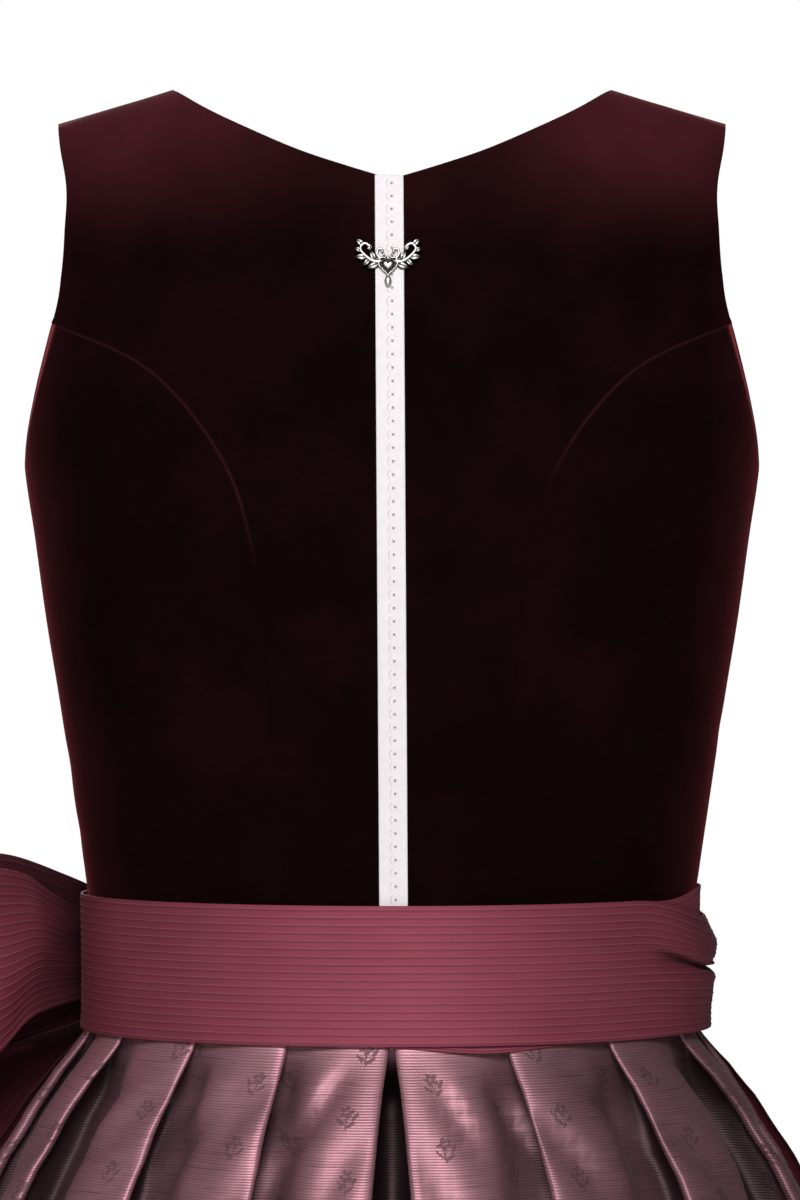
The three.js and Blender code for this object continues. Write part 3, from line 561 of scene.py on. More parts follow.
class ShaderSheet(NodeSheet):
    """The node tree of one material."""

    def __init__(self, name: str) -> None:
        """Starts an empty tree."""
        self.material = bpy.data.materials.new(name)
        self.material.use_nodes = True
        super().__init__(self.material.node_tree)
        self.tree.nodes.clear()

    def number(self, kind: str, settings: dict[str, object], inputs: dict[int | str, Input]) -> Signal:
        """Adds a node and gives its first output as a number."""
        return Signal(self, self.node(kind, settings, inputs).outputs[0])

    def cloth(self) -> tuple[Signal, Signal]:
        """The piece's own cloth coordinates in millimetres, across and along."""
        found = self.node("ShaderNodeUVMap", {"uv_map": "cloth"}, {})
        inputs = {0: found.outputs[0], "Scale": 1 / MM}
        scaled = self.node("ShaderNodeVectorMath", {"operation": "SCALE"}, inputs)
        parts = self.node("ShaderNodeSeparateXYZ", {}, {0: scaled.outputs[0]})
        return Signal(self, parts.outputs[0]), Signal(self, parts.outputs[1])

    def place(self) -> Socket:
        """The object coordinates."""
        return self.node("ShaderNodeTexCoord", {}, {}).outputs["Object"]

    def mark(self, name: str) -> Signal:
        """A number stored on the mesh's points."""
        made = self.node("ShaderNodeAttribute", {"attribute_name": name}, {})
        return Signal(self, made.outputs["Fac"])

    def vector(self, x: Input, y: Input, z: Input = 0.0) -> Socket:
        """A vector from three numbers."""
        return self.node("ShaderNodeCombineXYZ", {}, {0: x, 1: y, 2: z}).outputs[0]

    def noise(
        self,
        at: Socket,
        scale: float,
        detail: float = 2.0,
        rough: float = 0.5,
    ) -> Signal:
        """Soft noise between 0 and 1."""
        values = {"Vector": at, "Scale": scale, "Detail": detail, "Roughness": rough}
        return self.number("ShaderNodeTexNoise", {}, values)

    def mix(self, share: Input, start: Input, end: Input) -> Socket:
        """A colour between two."""
        made = self.node("ShaderNodeMix", {"data_type": "RGBA"}, {0: share, 6: start, 7: end})
        return made.outputs[2]

    def relief(self, height: Signal, distance: float, strength: float = 1.0) -> Socket:
        """A normal from a height, where a height of 1 stands distance millimetres proud."""
        values = {"Height": height, "Distance": distance * MM, "Strength": strength}
        return self.node("ShaderNodeBump", {}, values).outputs[0]

    def finish(self, inputs: dict[str, Input]) -> Material:
        """Closes the tree with a Principled shader and gives the material."""
        shader = self.node("ShaderNodeBsdfPrincipled", {}, inputs)
        self.node("ShaderNodeOutputMaterial", {}, {"Surface": shader.outputs[0]})
        return self.material


@dataclass(frozen=True)
class Velvet:
    """Dark burgundy velvet: near black face on, with a painted sheen that lightens it at the shoulders and
    sides, where the view grazes it.
    """

    deep: Colour = (0.0042, 0.0011, 0.0011)
    # painted sheen: the colour that the shoulders and sides are lightened towards
    lifted: Colour = (0.071, 0.0131, 0.0183)
    # painted sheen: the lighter colour painted along the seams
    seam: Colour = (0.042, 0.010, 0.013)
    sheen: Colour = (0.50, 0.08, 0.10)

    def material(self) -> Material:
        """Makes the material; a painted sheen, mottled unevenly, lightens the shoulders and sides, and a
        painted sheen shows the seams lighter.
        """
        sheet = ShaderSheet("velvet")
        at = sheet.place()
        brushed = sheet.noise(at, 16.0, 4.0, 0.6)
        pile = sheet.noise(at, 1500.0, 1.0)
        # painted sheen at the shoulders and sides, mottled by the brushed noise
        nap = sheet.mark("nap") * (0.55 + brushed * 0.9)
        share = (nap + (brushed - 0.5) * 0.2 + 0.02).most(0.0).least(1.0)
        colour = sheet.mix(share, self.deep, self.lifted)
        # painted sheen along the seams
        lined = sheet.mix(sheet.mark("seam") * 0.9, colour, self.seam)
        height = pile * 0.5 + brushed * 0.5
        return sheet.finish({
            "Base Color": lined,
            "Roughness": 0.95,
            "Specular IOR Level": 0.02,
            "Sheen Weight": 0.26,
            "Sheen Roughness": 0.30,
            "Sheen Tint": self.sheen,
            "Normal": sheet.relief(height, 0.25, 0.5),
        })


@dataclass(frozen=True)
class Jacquard:
    """Mauve silky jacquard with fine crosswise ribs and small darker sprigs."""

    light: Colour = (0.43, 0.205, 0.245)
    dark: Colour = (0.20, 0.092, 0.114)
    sprig: Colour = (0.105, 0.052, 0.066)
    # painted shade: the near black that the fold hollows and the right hip are darkened towards
    hollow: Colour = (0.010, 0.005, 0.006)
    rib_pitch: float = 1.45
    repeat_across: float = 43.0
    repeat_along: float = 33.0
    flower_rise: float = 2.4
    petal_length: float = 2.1
    petal_root: float = 1.5

    def sprigs(self, sheet: ShaderSheet, across: Signal, along: Signal) -> Signal:
        """Where the small flowers lie: five petals, a stem and leaves, in a half-drop repeat.

        Args:
            sheet: the material's tree.
            across: the cloth coordinate across, in millimetres.
            along: the cloth coordinate along.

        Returns:
            A number that is 1 on a sprig and 0 on the ground.
        """
        column = (across / self.repeat_across).floor()
        shifted = along / self.repeat_along + (column * 0.5).fraction()
        turn_seed = sheet.vector(column, shifted.floor(), 0.5)
        random = sheet.number("ShaderNodeTexWhiteNoise", {}, {"Vector": turn_seed})
        flip = (random.step(0.49, 0.51) * 2) - 1
        x = ((across / self.repeat_across).fraction() - 0.5) * self.repeat_across * flip
        y = (shifted.fraction() - 0.5) * self.repeat_along
        rise = y - self.flower_rise
        away = (x * x + rise * rise) ** 0.5
        turn = rise.towards(x) + random * 2.0
        petals = (turn * 2.5).cosine().size() * self.petal_length + self.petal_root
        flower = 1 - (away - petals).step(-0.3, 0.4)
        eye = 1 - (away - 0.8).step(-0.2, 0.2)
        stem_bend = x - 0.10 * y * y / 6
        stem = (1 - (stem_bend.size() - 0.35).step(-0.2, 0.3)) * (1 - (y + 2.5).size().step(4.2, 4.8))
        leaves = self.leaf(x, y, 2.7, -4.2, 0.7).most(self.leaf(x, y, -2.5, -2.6, -0.8))
        bud = self.leaf(x, y, 4.4, 0.2, 1.1)
        return (flower - eye).most(stem).most(leaves).most(bud).most(0.0)

    @staticmethod
    def leaf(x: Signal, y: Signal, across: float, up: float, turn: float) -> Signal:
        """One slim leaf round a point, turned by an angle in radians."""
        side, rise = x - across, y - up
        run = side * math.cos(turn) + rise * math.sin(turn)
        off = rise * math.cos(turn) - side * math.sin(turn)
        return 1 - ((run * run) / 6.5 + (off * off) / 0.9).step(0.75, 1.25)

    def material(self) -> Material:
        """Makes the material from the cloth's own coordinates."""
        sheet = ShaderSheet("jacquard")
        across, along = sheet.cloth()
        rib = (along / self.rib_pitch).wave()
        slub = sheet.noise(sheet.vector(across * 0.045, along * 1.1), 1.0, 3.0, 0.6)
        shade = sheet.noise(sheet.vector(across * 0.012, along * 0.02), 1.0, 2.0)
        thread = sheet.noise(sheet.vector(across * 1.6, along * 0.4), 1.0, 1.0)
        thick = sheet.noise(sheet.vector(across * 0.03, along * 0.62, 7.0), 1.0, 2.0).step(0.56, 0.68)
        drift = sheet.noise(sheet.vector(across * 0.5, along * 0.5), 1.0, 2.0) - 0.5
        sprig = self.sprigs(sheet, across + drift * 3.4, along + drift * 2.6)
        worn = sprig * (thread * 0.7 + 0.45).least(1.0)
        tone = (rib * 0.34 + slub * 0.55 + shade * 0.35 - thick * 0.2).step(0.05, 0.95)
        ground = sheet.mix(tone, self.dark, self.light)
        colour = sheet.mix(worn * 0.78, ground, self.sprig)
        # painted shade from the mark named deep, in the fold hollows and on the right hip
        colour = sheet.mix(sheet.mark("deep") * 0.95, colour, self.hollow)
        height = rib * 0.6 + slub * 0.35 + thread * 0.2 + sprig * 0.5 - thick * 0.2
        return sheet.finish({
            "Base Color": colour,
            "Roughness": 0.43 + sprig * 0.2 + slub * 0.1,
            "Metallic": 0.58,
            "Specular IOR Level": 0.3,
            "Sheen Weight": 0.03,
            "Sheen Roughness": 0.35,
            "Sheen Tint": (0.85, 0.7, 0.78),
            "Normal": sheet.relief(height, 0.16, 0.8),
        })


@dataclass(frozen=True)
class Satin:
    """Burgundy satin, with fine raised lengthwise ribs where it has them."""

    name: str
    base: Colour
    glow: Colour
    line: Colour = (0.36, 0.125, 0.165)
    # painted shade and shadow: the near black that creases, hollows, rib shadows and turned-away parts are
    # darkened towards
    hollow: Colour = (0.012, 0.003, 0.005)
    ribs: bool = True

    def material(self) -> Material:
        """Makes the material; the mark named rib says where the raised lines run, and the mark named deep
        where painted shade darkens it.
        """
        sheet = ShaderSheet(self.name)
        across, along = sheet.cloth()
        weft = (across / 0.42).wave()
        slub = sheet.noise(sheet.vector(across * 0.03, along * 0.9), 1.0, 3.0, 0.55)
        bloom = sheet.noise(sheet.vector(across * 0.018, along * 0.03), 1.0, 2.0)
        tone = (slub * 0.5 + bloom * 0.5).step(0.25, 0.8)
        height = weft * 0.3 + slub * 0.5
        colour = sheet.mix(tone, self.base, self.glow)
        if self.ribs:
            rib = sheet.mark("rib")
            # painted shadow: a dark line just below each raised rib
            rib_shadow = 1 - ((along / RIBBON * RIB_COUNT).fraction() - 0.31).size().step(0.05, 0.2)
            colour = sheet.mix(rib_shadow * 0.24, colour, self.hollow)
            colour = sheet.mix(rib * 0.55, colour, self.line)
            height = height + rib * (across / 0.9).wave() * 0.7
        # painted shade from the mark named deep: the sash's crease and sides, the bow's loops and ends, and
        # the apron's side hems
        colour = sheet.mix(sheet.mark("deep") * 0.92, colour, self.hollow)
        return sheet.finish({
            "Base Color": colour,
            "Roughness": 0.56 + slub * 0.1,
            "Metallic": 0.55,
            "Specular IOR Level": 0.2,
            "Sheen Weight": 0.02,
            "Sheen Roughness": 0.35,
            "Sheen Tint": (0.95, 0.6, 0.68),
            "Normal": sheet.relief(height, 0.08, 0.7),
        })


@dataclass(frozen=True)
class Tape:
    """White woven tape with a ribbed body."""

    white: Colour = (0.88, 0.84, 0.855)
    shade: Colour = (0.75, 0.70, 0.715)

    def material(self) -> Material:
        """Makes the material from the cloth's own coordinates."""
        sheet = ShaderSheet("lace_tape")
        across, along = sheet.cloth()
        weave = (across / 0.55).wave() * (along / 0.5).wave()
        worn = sheet.noise(sheet.vector(across * 0.2, along * 0.2), 1.0, 3.0)
        colour = sheet.mix((weave * 0.5 + worn * 0.5).step(0.0, 0.8), self.shade, self.white)
        return sheet.finish({
            "Base Color": colour,
            "Roughness": 0.85,
            "Sheen Weight": 0.2,
            "Normal": sheet.relief(weave, 0.12, 0.8),
        })


@dataclass(frozen=True)
class Silver:
    """Antique silver: bright on what stands proud, blackened in the hollows."""

    bright: Colour = (0.62, 0.60, 0.57)
    black: Colour = (0.05, 0.045, 0.04)

    def material(self) -> Material:
        """Makes the material; the mark named proud says what stands out."""
        sheet = ShaderSheet("antique_silver")
        proud = sheet.mark("proud")
        scratch = sheet.noise(sheet.place(), 900.0, 3.0)
        share = (proud * 1.1 + scratch * 0.3 - 0.15).step(0.15, 0.75)
        return sheet.finish({
            "Base Color": sheet.mix(share, self.black, self.bright),
            "Roughness": 0.30 + scratch * 0.2,
            "Metallic": 1.0,
            "Normal": sheet.relief(scratch, 0.05, 0.5),
        })


def seated(piece: Thing) -> Thing:
    """The piece, now carried by the dress's body."""
    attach(piece, ROOT)
    return piece


def dress_up(
    piece: Thing,
    material: Material,
    node: str,
) -> Thing:
    """Gives a piece its material, body and slot, and hides the solid that it takes the place of.

    Args:
        piece: the piece.
        material: its finish.
        node: the solid that it takes the place of.

    Returns:
        The same piece.
    """
    piece.data.materials.clear()
    piece.data.materials.append(material)
    seated(piece)
    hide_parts(node)
    return piece


def report(pieces: Sequence[Thing]) -> None:
    """Logs each piece and how many faces it has."""
    for piece in pieces:
        LOG.info("%s: %d faces", piece.name, len(piece.data.polygons))


def sheet_of(
    piece: Thing,
    flat: Pair,
) -> None:
    """Works out a piece's area and the flat size of its cut in millimetres, and keeps neither.

    Args:
        piece: the cloth.
        flat: the width and length of the cut's box.
    """
    area = sum(face.area for face in piece.data.polygons) / 2
    width, length = flat[0] * MM, flat[1] * MM
    min(area, width * length)


@dataclass
class Bodice:
    """The eight velvet panels."""

    wall: float = 1.8
    rounding: float = 0.9
    seam_line: float = 0.7
    seam_fade: dict[Side, Pair] = field(
        default_factory=lambda: {Side.LEFT: (-252, -198), Side.RIGHT: (-212, -168)})
    fine: int = 7
    seam_rows: int = 9
    neck_rows: int = 5
    lower_neck_rows: int = 3
    back_columns: int = 44
    side_columns: int = 34
    bow_steps: int = 48
    rims: Numbers = (0.0015, 0.004, 0.008, 0.014)
    flat_share: Pair = (1.05, 1.12)
    ease: float = 2.6
    ease_at: Pair = (-78, 34)
    ease_low: Pair = (-119.5, -96)
    ease_high: Pair = (-17, -34)
    ease_reach: Pair = (35, 60)
    # painted sheen along the seams: its strength
    seam_painted_sheen: float = 0.8
    # painted sheen at the shoulders and on the sides
    shoulder_nap: Pair = (-95, 6)
    centre_nap: float = 0.3
    painted_sheen_spread: Pair = (25, 120)
    side_nap: float = 0.34
    side_painted_sheen_reach: Pair = (52, 84)
    drag_lines: Table = Table(
        "depth lean height width start full back", (1.1, 0.22, -372, 9, 30, 90, 0.55),
        (0.8, -0.16, -345, 7, 60, 120, 0.55))
    hollows: Table = Table(
        "depth lean across reach height width back", (0.9, 0.1, 70, 45, -393, 8, 0.55),
        (1.4, 0.9, 128, 16, -112, 34, 1))
    centre_back: Table = Table("across height", (0, -438), (0, -310), (0, -180), (0, -53.8))
    back_neck: Table = Table(
        "across height", (0, -53.8), (20, -47.6), (44, -39), (68, -27.6), (91, -14.8), (111, 0))
    back_seam: Table = Table(
        "across height", (48, -438), (53, -370), (60, -290), (66.4, -231), (81.8, -186), (115.9, -145),
        (166.6, -119.5))
    centre_front: Table = Table("across height", (0, -438), (0, -340), (0, -245), (0, -150))
    front_neck: Table = Table(
        "across height", (0, -150), (32, -148.6), (62, -140.5), (93, -108), (107, -58), (111, 0))
    front_seam: Table = Table(
        "across height", (52, -438), (62, -370), (78, -310), (88, -265), (98, -215), (118, -165), (147, -128))
    back_armhole: Table = Table(
        "angle height", (64.8, -119.5), (60.4, -97), (59.5, -75), (62.5, -50), (74.8, -16.5))
    back_underarm: Table = Table("angle height", (64.8, -119.5), (71.2, -147), (80.5, -177), (90, -192))
    front_armhole: Table = Table(
        "angle height", (128.8, -128), (131, -100), (129.5, -74), (123, -46), (105.2, -16.5))
    front_underarm: Table = Table("angle height", (128.8, -128), (122.5, -152), (109, -180), (90, -192))
    side_seam: Table = Table("angle height", (90, -438), (90, -360), (90, -275), (90, -192))

    def edge(self, table: Table, steps: int, front: bool) -> Grids:
        """Angles and levels along an edge table.

        Args:
            table: the edge, by across or angle and by height.
            steps: the steps along it.
            front: whether it lies on the front half.

        Returns:
            The angles and the levels.
        """
        first, height = table.spread([table.names[0], "height"], steps)
        if table.names[0] == "angle":
            return Torso.seat(None, first, height, front)
        return Torso.seat(np.maximum(first, 0), None, height, front)

    def parted(self, line: Grids, side: float) -> Grids:
        """Moves an edge sideways by half a seam gap.

        Args:
            line: the edge's angles and levels.
            side: 1 or -1, for the way that it moves.

        Returns:
            The moved angles and levels.
        """
        turn_step, level_step = 0.5, 0.1
        angle, level = line
        here = Torso.point(angle, level)
        along = unit(np.gradient(here, axis=0))
        across = unit(np.cross(along, Torso.normal(angle, level)))
        around = (Torso.point(angle + turn_step, level) - here) / turn_step
        up = (Torso.point(angle, level + level_step) - here) / level_step
        step = side * SEAM_GAP / 2
        turn = step * np.sum(across * around, -1) / np.sum(around * around, -1)
        rise = step * np.sum(across * up, -1) / np.sum(up * up, -1)
        return angle + turn, level + rise

    def panel(
        self,
        inner: Grids,
        outer: Grids,
        columns: int,
        top: Table | None = None,
        front: bool = False,
    ) -> Grids:
        """The angles and levels of a grid that is ruled between two edges.

        Args:
            inner: the edge nearer the centre.
            outer: the edge nearer the side.
            columns: the steps across.
            top: a curve that the upper edge bows like.
            front: whether that curve lies on the front.

        Returns:
            Two grids.
        """
        share = rimmed(columns, *self.rims)[None, :]
        angle = lerp(inner[0][:, None], outer[0][:, None], share)
        level = lerp(inner[1][:, None], outer[1][:, None], share)
        if top is not None:
            bow = self.edge(top, self.bow_steps, front)
            steps = np.linspace(0, 1, self.bow_steps + 1)
            pull = (np.linspace(0, 1, len(angle)) ** 2)[:, None]
            for grid, values in ((angle, bow[0]), (level, bow[1])):
                straight = lerp(values[0], values[-1], steps)
                grid += pull * np.interp(share, steps, values - straight)
        return angle, level

    def creases(self, points: Array) -> Array:
        """Soft hollows that the velvet takes above the sash and beside the armholes.

        Args:
            points: the points of a panel.

        Returns:
            How far each point moves out, which is never more than 0.
        """
        across, height = np.abs(points[..., 0]), points[..., 2]
        side = np.sign(points[..., 0])
        back = smooth(-points[..., 1], 0, 40)
        total = np.zeros_like(height)
        for depth, lean, at, width, start, full, share in self.drag_lines.rows:
            line = bump(height + lean * across * side, at, width) * smooth(across, start, full)
            total -= depth * line * lerp(1, back, share)
        for depth, lean, middle, reach, at, width, share in self.hollows.rows:
            hollow = bump(across, middle, reach) * bump(height + lean * (across - middle), at, width)
            total -= depth * hollow * lerp(1, back, share)
        return total

    def wall_of(self, angle: Array, level: Array, seams: tuple[bool, bool], seam_rows: int) -> Wall:
        """The velvet wall on a grid of angles and levels.

        Args:
            angle: the grid's angles.
            level: the grid's levels.
            seams: whether the first and the last column are sewn to a neighbour and show it.
            seam_rows: the rows that the seams reach up to.

        Returns:
            The wall.
        """
        surface = Torso.point(angle, level)
        out = Torso.normal(angle, level)
        surface = surface + out * self.creases(surface)[..., None]
        share = edge_share(surface, self.rounding)[..., None]
        middle = surface - out * self.wall / 2
        across = run_across(surface)
        uv = np.stack([across, surface[..., 2]], -1)
        half = out * self.wall / 2 * share
        sewn = (np.arange(len(angle)) <= seam_rows)[:, None]
        near = [np.where(sewn, bump(edge, 0, self.seam_line), 0) * show
                for edge, show in zip((across, across[:, -1:] - across), seams)]
        height = surface[..., 2]
        side = Side.RIGHT if angle.mean() > 0 else Side.LEFT
        # painted sheen: a light line along the shown seams, fading out lower down
        seam = np.maximum(*near) * smooth(height, *self.seam_fade[side]) * self.seam_painted_sheen
        # painted sheen: lighter at the shoulders, more so away from the middle, and on the sides below the
        # armholes
        outwards = smooth(np.abs(surface[..., 0]), *self.painted_sheen_spread)
        nap = smooth(height, *self.shoulder_nap) * lerp(self.centre_nap, 1, outwards)
        turned = smooth(np.abs(angle), *self.side_painted_sheen_reach) * smooth(-np.abs(angle), -CENTRE_FRONT, -90)
        nap = np.maximum(nap, self.side_nap * turned)
        return Wall(middle + half, middle - half, uv, {"seam": seam, "nap": nap})

    def grids(self) -> dict[str, Grids]:
        """The four panels of the right half.

        Returns:
            Each panel's grids of angles and levels, by name.
        """
        def joined(lower: Grids, upper: Grids) -> Grids:
            """One edge after the other."""
            return np.concatenate([lower[0], upper[0][1:]]), np.concatenate([lower[1], upper[1][1:]])

        seam_steps, neck_steps = self.seam_rows * self.fine, self.neck_rows * self.fine
        low_steps = (self.seam_rows - self.lower_neck_rows) * self.fine
        high_steps = (self.neck_rows + self.lower_neck_rows) * self.fine
        back_seam = self.edge(self.back_seam, seam_steps, False)
        front_seam = self.edge(self.front_seam, seam_steps, True)
        side = self.edge(self.side_seam, seam_steps, False)
        back = joined(self.parted(self.edge(self.centre_back, seam_steps, False), 1),
                      self.edge(self.back_neck, neck_steps, False))
        back_out = joined(self.parted(back_seam, -1), self.edge(self.back_armhole, neck_steps, False))
        front = joined(self.parted(self.edge(self.centre_front, low_steps, True), -1),
                       self.edge(self.front_neck, high_steps, True))
        front_out = joined(self.parted(front_seam, 1), self.edge(self.front_armhole, neck_steps, True))
        side_back = (self.parted(back_seam, 1), self.parted(side, -1))
        side_front = (self.parted(front_seam, -1), self.parted(side, 1))
        return {
            "back": self.panel(back, back_out, self.back_columns),
            "front": self.panel(front, front_out, self.back_columns),
            "side_back": self.panel(*side_back, self.side_columns, self.back_underarm),
            "side_front": self.panel(*side_front, self.side_columns, self.front_underarm, True),
        }

    def eased(self, angle: Array, level: Array) -> Array:
        """The back panel's angles where its armhole sits a little looser, as it does on the right."""
        height = Torso.point(angle, level)[..., 2]
        loose = bump(height, *self.ease_at)
        loose = loose * smooth(height, *self.ease_low) * smooth(height, *self.ease_high)
        return angle + self.ease * loose * smooth(angle, *self.ease_reach)

    def build(self, velvet: Material) -> list[Thing]:
        """Makes and dresses the panels of both halves.

        Args:
            velvet: the material.

        Returns:
            The eight panels.
        """
        made = []
        for name, (angle, level) in self.grids().items():
            for side in Side:
                if name == "back" and side is Side.RIGHT:
                    angle = self.eased(angle, level)
                shown = (name.startswith("side"), not name.startswith("side"))
                rows = self.seam_rows * self.fine + (self.neck_rows * self.fine if shown[0] else 0)
                wall = self.wall_of(angle * side.value, level, shown, rows)
                piece = wall.build(f"{name}_panel_{side.word}")
                dress_up(piece, velvet, f"{name}_{side.word}")
                width, length = (float(np.ptp(wall.uv[..., part])) * share
                                 for part, share in enumerate(self.flat_share))
                sheet_of(piece, (width, length))
                made.append(piece)
        return made


@dataclass
class Pleats:
    """The skirt's folds and how a section runs through them."""

    closed_overlap: Pair = (-1, 5)
    fan: Pair = (466, 512)
    closed_turn: float = 1.3
    open_turn: float = 0.75
    slope: Pair = (0.26, 0.72)
    underlay_share: float = 0.7
    underlay_turn: float = 0.6
    panel_steps: Numbers = (0.25, 0.5, 0.75)
    fold_depth: Pair = (17.0, 22.0)
    # how far each point of a fold lies hidden, which sets its painted shade
    covered: Numbers = (1, 1, 0.9, 0.25, 0, 0, 0, 0.06, 0.45)
    covered_centre: Numbers = (1, 1, 0.9)
    slack: Numbers = (0.3, 0.3, 0.2, 0.1, 0.1, 0.25, 1, 1, 0.8)
    deepening: Pair = (520, 800)
    opening: Pair = (464, 500)
    centre_opening: Pair = (466, 500)
    centre_depth: float = 58.0
    centre_reach: float = 8.0
    folds: Table = Table(
        "left right leftOpen rightOpen",
        (0, 0, 0, 0), (19.5, 21.6, 20, 23), (39, 44, 39.6, 45.5), (60.6, 69, 64, 76), (81, 90, 84, 95),
        (101, 109, 104, 113), (121, 127, 123, 130), (141, 144, 142, 146), (160, 161, 160, 161.5),
    )
    pleat: Table = Table(
        "outer closedTurn openTurn closedLift openLift",
        (0, -1, -1, 0, 0.12), (0, 0, 0, 0.5, 0), (0, -1, 0.6, 1, 0.35),
        (1, 1, -0.5, 1, 1.6), (1, 0, 0, 1.5, 1.95), (1, 1, 1, 2, 2),
    )

    def side(self, height: float, side: Side) -> tuple[list[float], list[float]]:
        """Angles and lifts of one side of a section, from centre back to centre front.

        Args:
            height: the section's height.
            side: the side of the dress.

        Returns:
            The angles, and how far each point stands off the skirt's oval.
        """
        at = SKIRT.row_of("height", height)
        step, overlap, centre = (float(SKIRT.read(name, at)) for name in ("step", "overlap", "centre"))
        closed = float(smooth(overlap, *self.closed_overlap))
        fan = float(smooth(-height, *self.fan))
        turn = lerp(self.open_turn * step, self.closed_turn, closed)
        slope = (closed * self.slope[0], lerp(1, self.slope[1], closed))
        shut = self.folds.read(side.word, np.arange(self.folds.last + 1))
        spread = self.folds.read(f"{side.word}Open", np.arange(self.folds.last + 1))
        outers = lerp(shut, spread, fan)
        outers[0] += centre
        unders = outers + overlap
        unders[0] = lerp(self.underlay_share * outers[0], outers[0] + overlap, closed)
        turns = np.full(len(outers), turn)
        room = self.underlay_turn * unders[0] * degree_length(SKIRT, unders[0], height)
        turns[0] = min(turn, room)
        angles: list[float] = []
        lifts: list[float] = []
        for index in range(len(outers)):
            for outer, closed_turn, open_turn, closed_lift, open_lift in self.pleat.rows:
                base = outers[index] if outer else unders[index]
                shift = turns[index] * lerp(open_turn, closed_turn, closed)
                angles.append(float(base + shift / degree_length(SKIRT, base, height)))
                lifts.append(step * lerp(open_lift, closed_lift, closed))
            start = angles[-1]
            last = index == len(outers) - 1
            end = CENTRE_FRONT if last else float(
                unders[index + 1] - turn / degree_length(SKIRT, unders[index + 1], height))
            for part in self.panel_steps:
                fall = float(smooth(part, slope[0], 1) / 2 if last else smooth(part, *slope))
                angles.append(lerp(start, end, part))
                lifts.append(2 * step * (1 - fall))
        return angles, lifts

    def ring(self, height: float) -> Grids:
        """Angles and lifts all round, from just past centre front on the left to centre front."""
        right_angles, right_lifts = self.side(height, Side.RIGHT)
        left_angles, left_lifts = self.side(height, Side.LEFT)
        angles = np.array([-a for a in reversed(left_angles)] + [0.0] + right_angles + [CENTRE_FRONT])
        lifts = np.array(left_lifts[::-1] + [0.0] + right_lifts + [right_lifts[-1]])
        return angles, lifts - self.hollow(height, angles, lifts)

    def hollow(self, height: float, angles: Array, lifts: Array) -> Array:
        """How much further in the covered cloth of each fold lies; the deepest fold is at centre back.

        Args:
            height: the section's height.
            angles: its angles.
            lifts: its lifts.

        Returns:
            The distance inwards at each point.
        """
        low = np.clip(1 - lifts / (2 * SKIRT.read("step", SKIRT.row_of("height", height))), 0, 1)
        depth = lerp(*self.fold_depth, smooth(-height, *self.deepening))
        centre = bump(angles, 0, self.centre_reach) * smooth(-height, *self.centre_opening)
        well = lerp(depth, self.centre_depth, centre)
        return well * low ** 4 * smooth(-height, *self.opening)

    def fold_shade_marks(self) -> Array:
        """How much painted shade each point of a ring gets for lying hidden in a fold, from 0 to 1, in the
        ring's order.
        """
        side = np.tile(self.covered, len(self.folds.rows))
        side[:len(self.covered_centre)] = self.covered_centre
        return np.concatenate([side[::-1], [1.0], side, [0.0]])

    def slack_marks(self) -> Array:
        """How freely each point of a ring gives way to a dent: least on the fold edges."""
        side = np.tile(self.slack, len(self.folds.rows))
        return np.concatenate([side[::-1], [0.3], side, [1.0]])

    @property
    def per_fold(self) -> int:
        """Points from one fold to the next."""
        return len(self.pleat.rows) + len(self.panel_steps)

    @property
    def fold_middle(self) -> float:
        """Points from centre back to the middle of the first fold."""
        return (len(self.pleat.rows) + 1) / 2

    @property
    def panel_start(self) -> int:
        """Points from centre back to the first one of the panel after the first fold."""
        return len(self.pleat.rows) + 1

    @property
    def panel_middle(self) -> int:
        """Points from centre back to the middle of that panel."""
        return self.panel_start + len(self.panel_steps) // 2


def through(points: Array, steps: int) -> Array:
    """A closed curve through points, with the same number of steps in each stretch.

    Args:
        points: the points, in order, as rows.
        steps: the steps in each stretch.

    Returns:
        The finer points, starting at the first.
    """
    before, after = np.roll(points, 1, 0), np.roll(points, -1, 0)
    later = np.roll(points, -2, 0)
    gaps = [np.sqrt(np.linalg.norm(b - a, axis=1, keepdims=True)) + 1e-6
            for a, b in ((before, points), (points, after), (after, later))]
    t1 = gaps[0]
    t2 = t1 + gaps[1]
    t3 = t2 + gaps[2]
    fine = []
    for step in range(steps):
        t = t1 + gaps[1] * step / steps
        a1 = (t1 - t) / t1 * before + t / t1 * points
        a2 = (t2 - t) / (t2 - t1) * points + (t - t1) / (t2 - t1) * after
        a3 = (t3 - t) / (t3 - t2) * after + (t - t2) / (t3 - t2) * later
        b1 = (t2 - t) / t2 * a1 + t / t2 * a2
        b2 = (t3 - t) / (t3 - t1) * a2 + (t - t1) / (t3 - t1) * a3
        fine.append((t2 - t) / (t2 - t1) * b1 + (t - t1) / (t2 - t1) * b2)
    return np.stack(fine, 1).reshape(-1, points.shape[1])


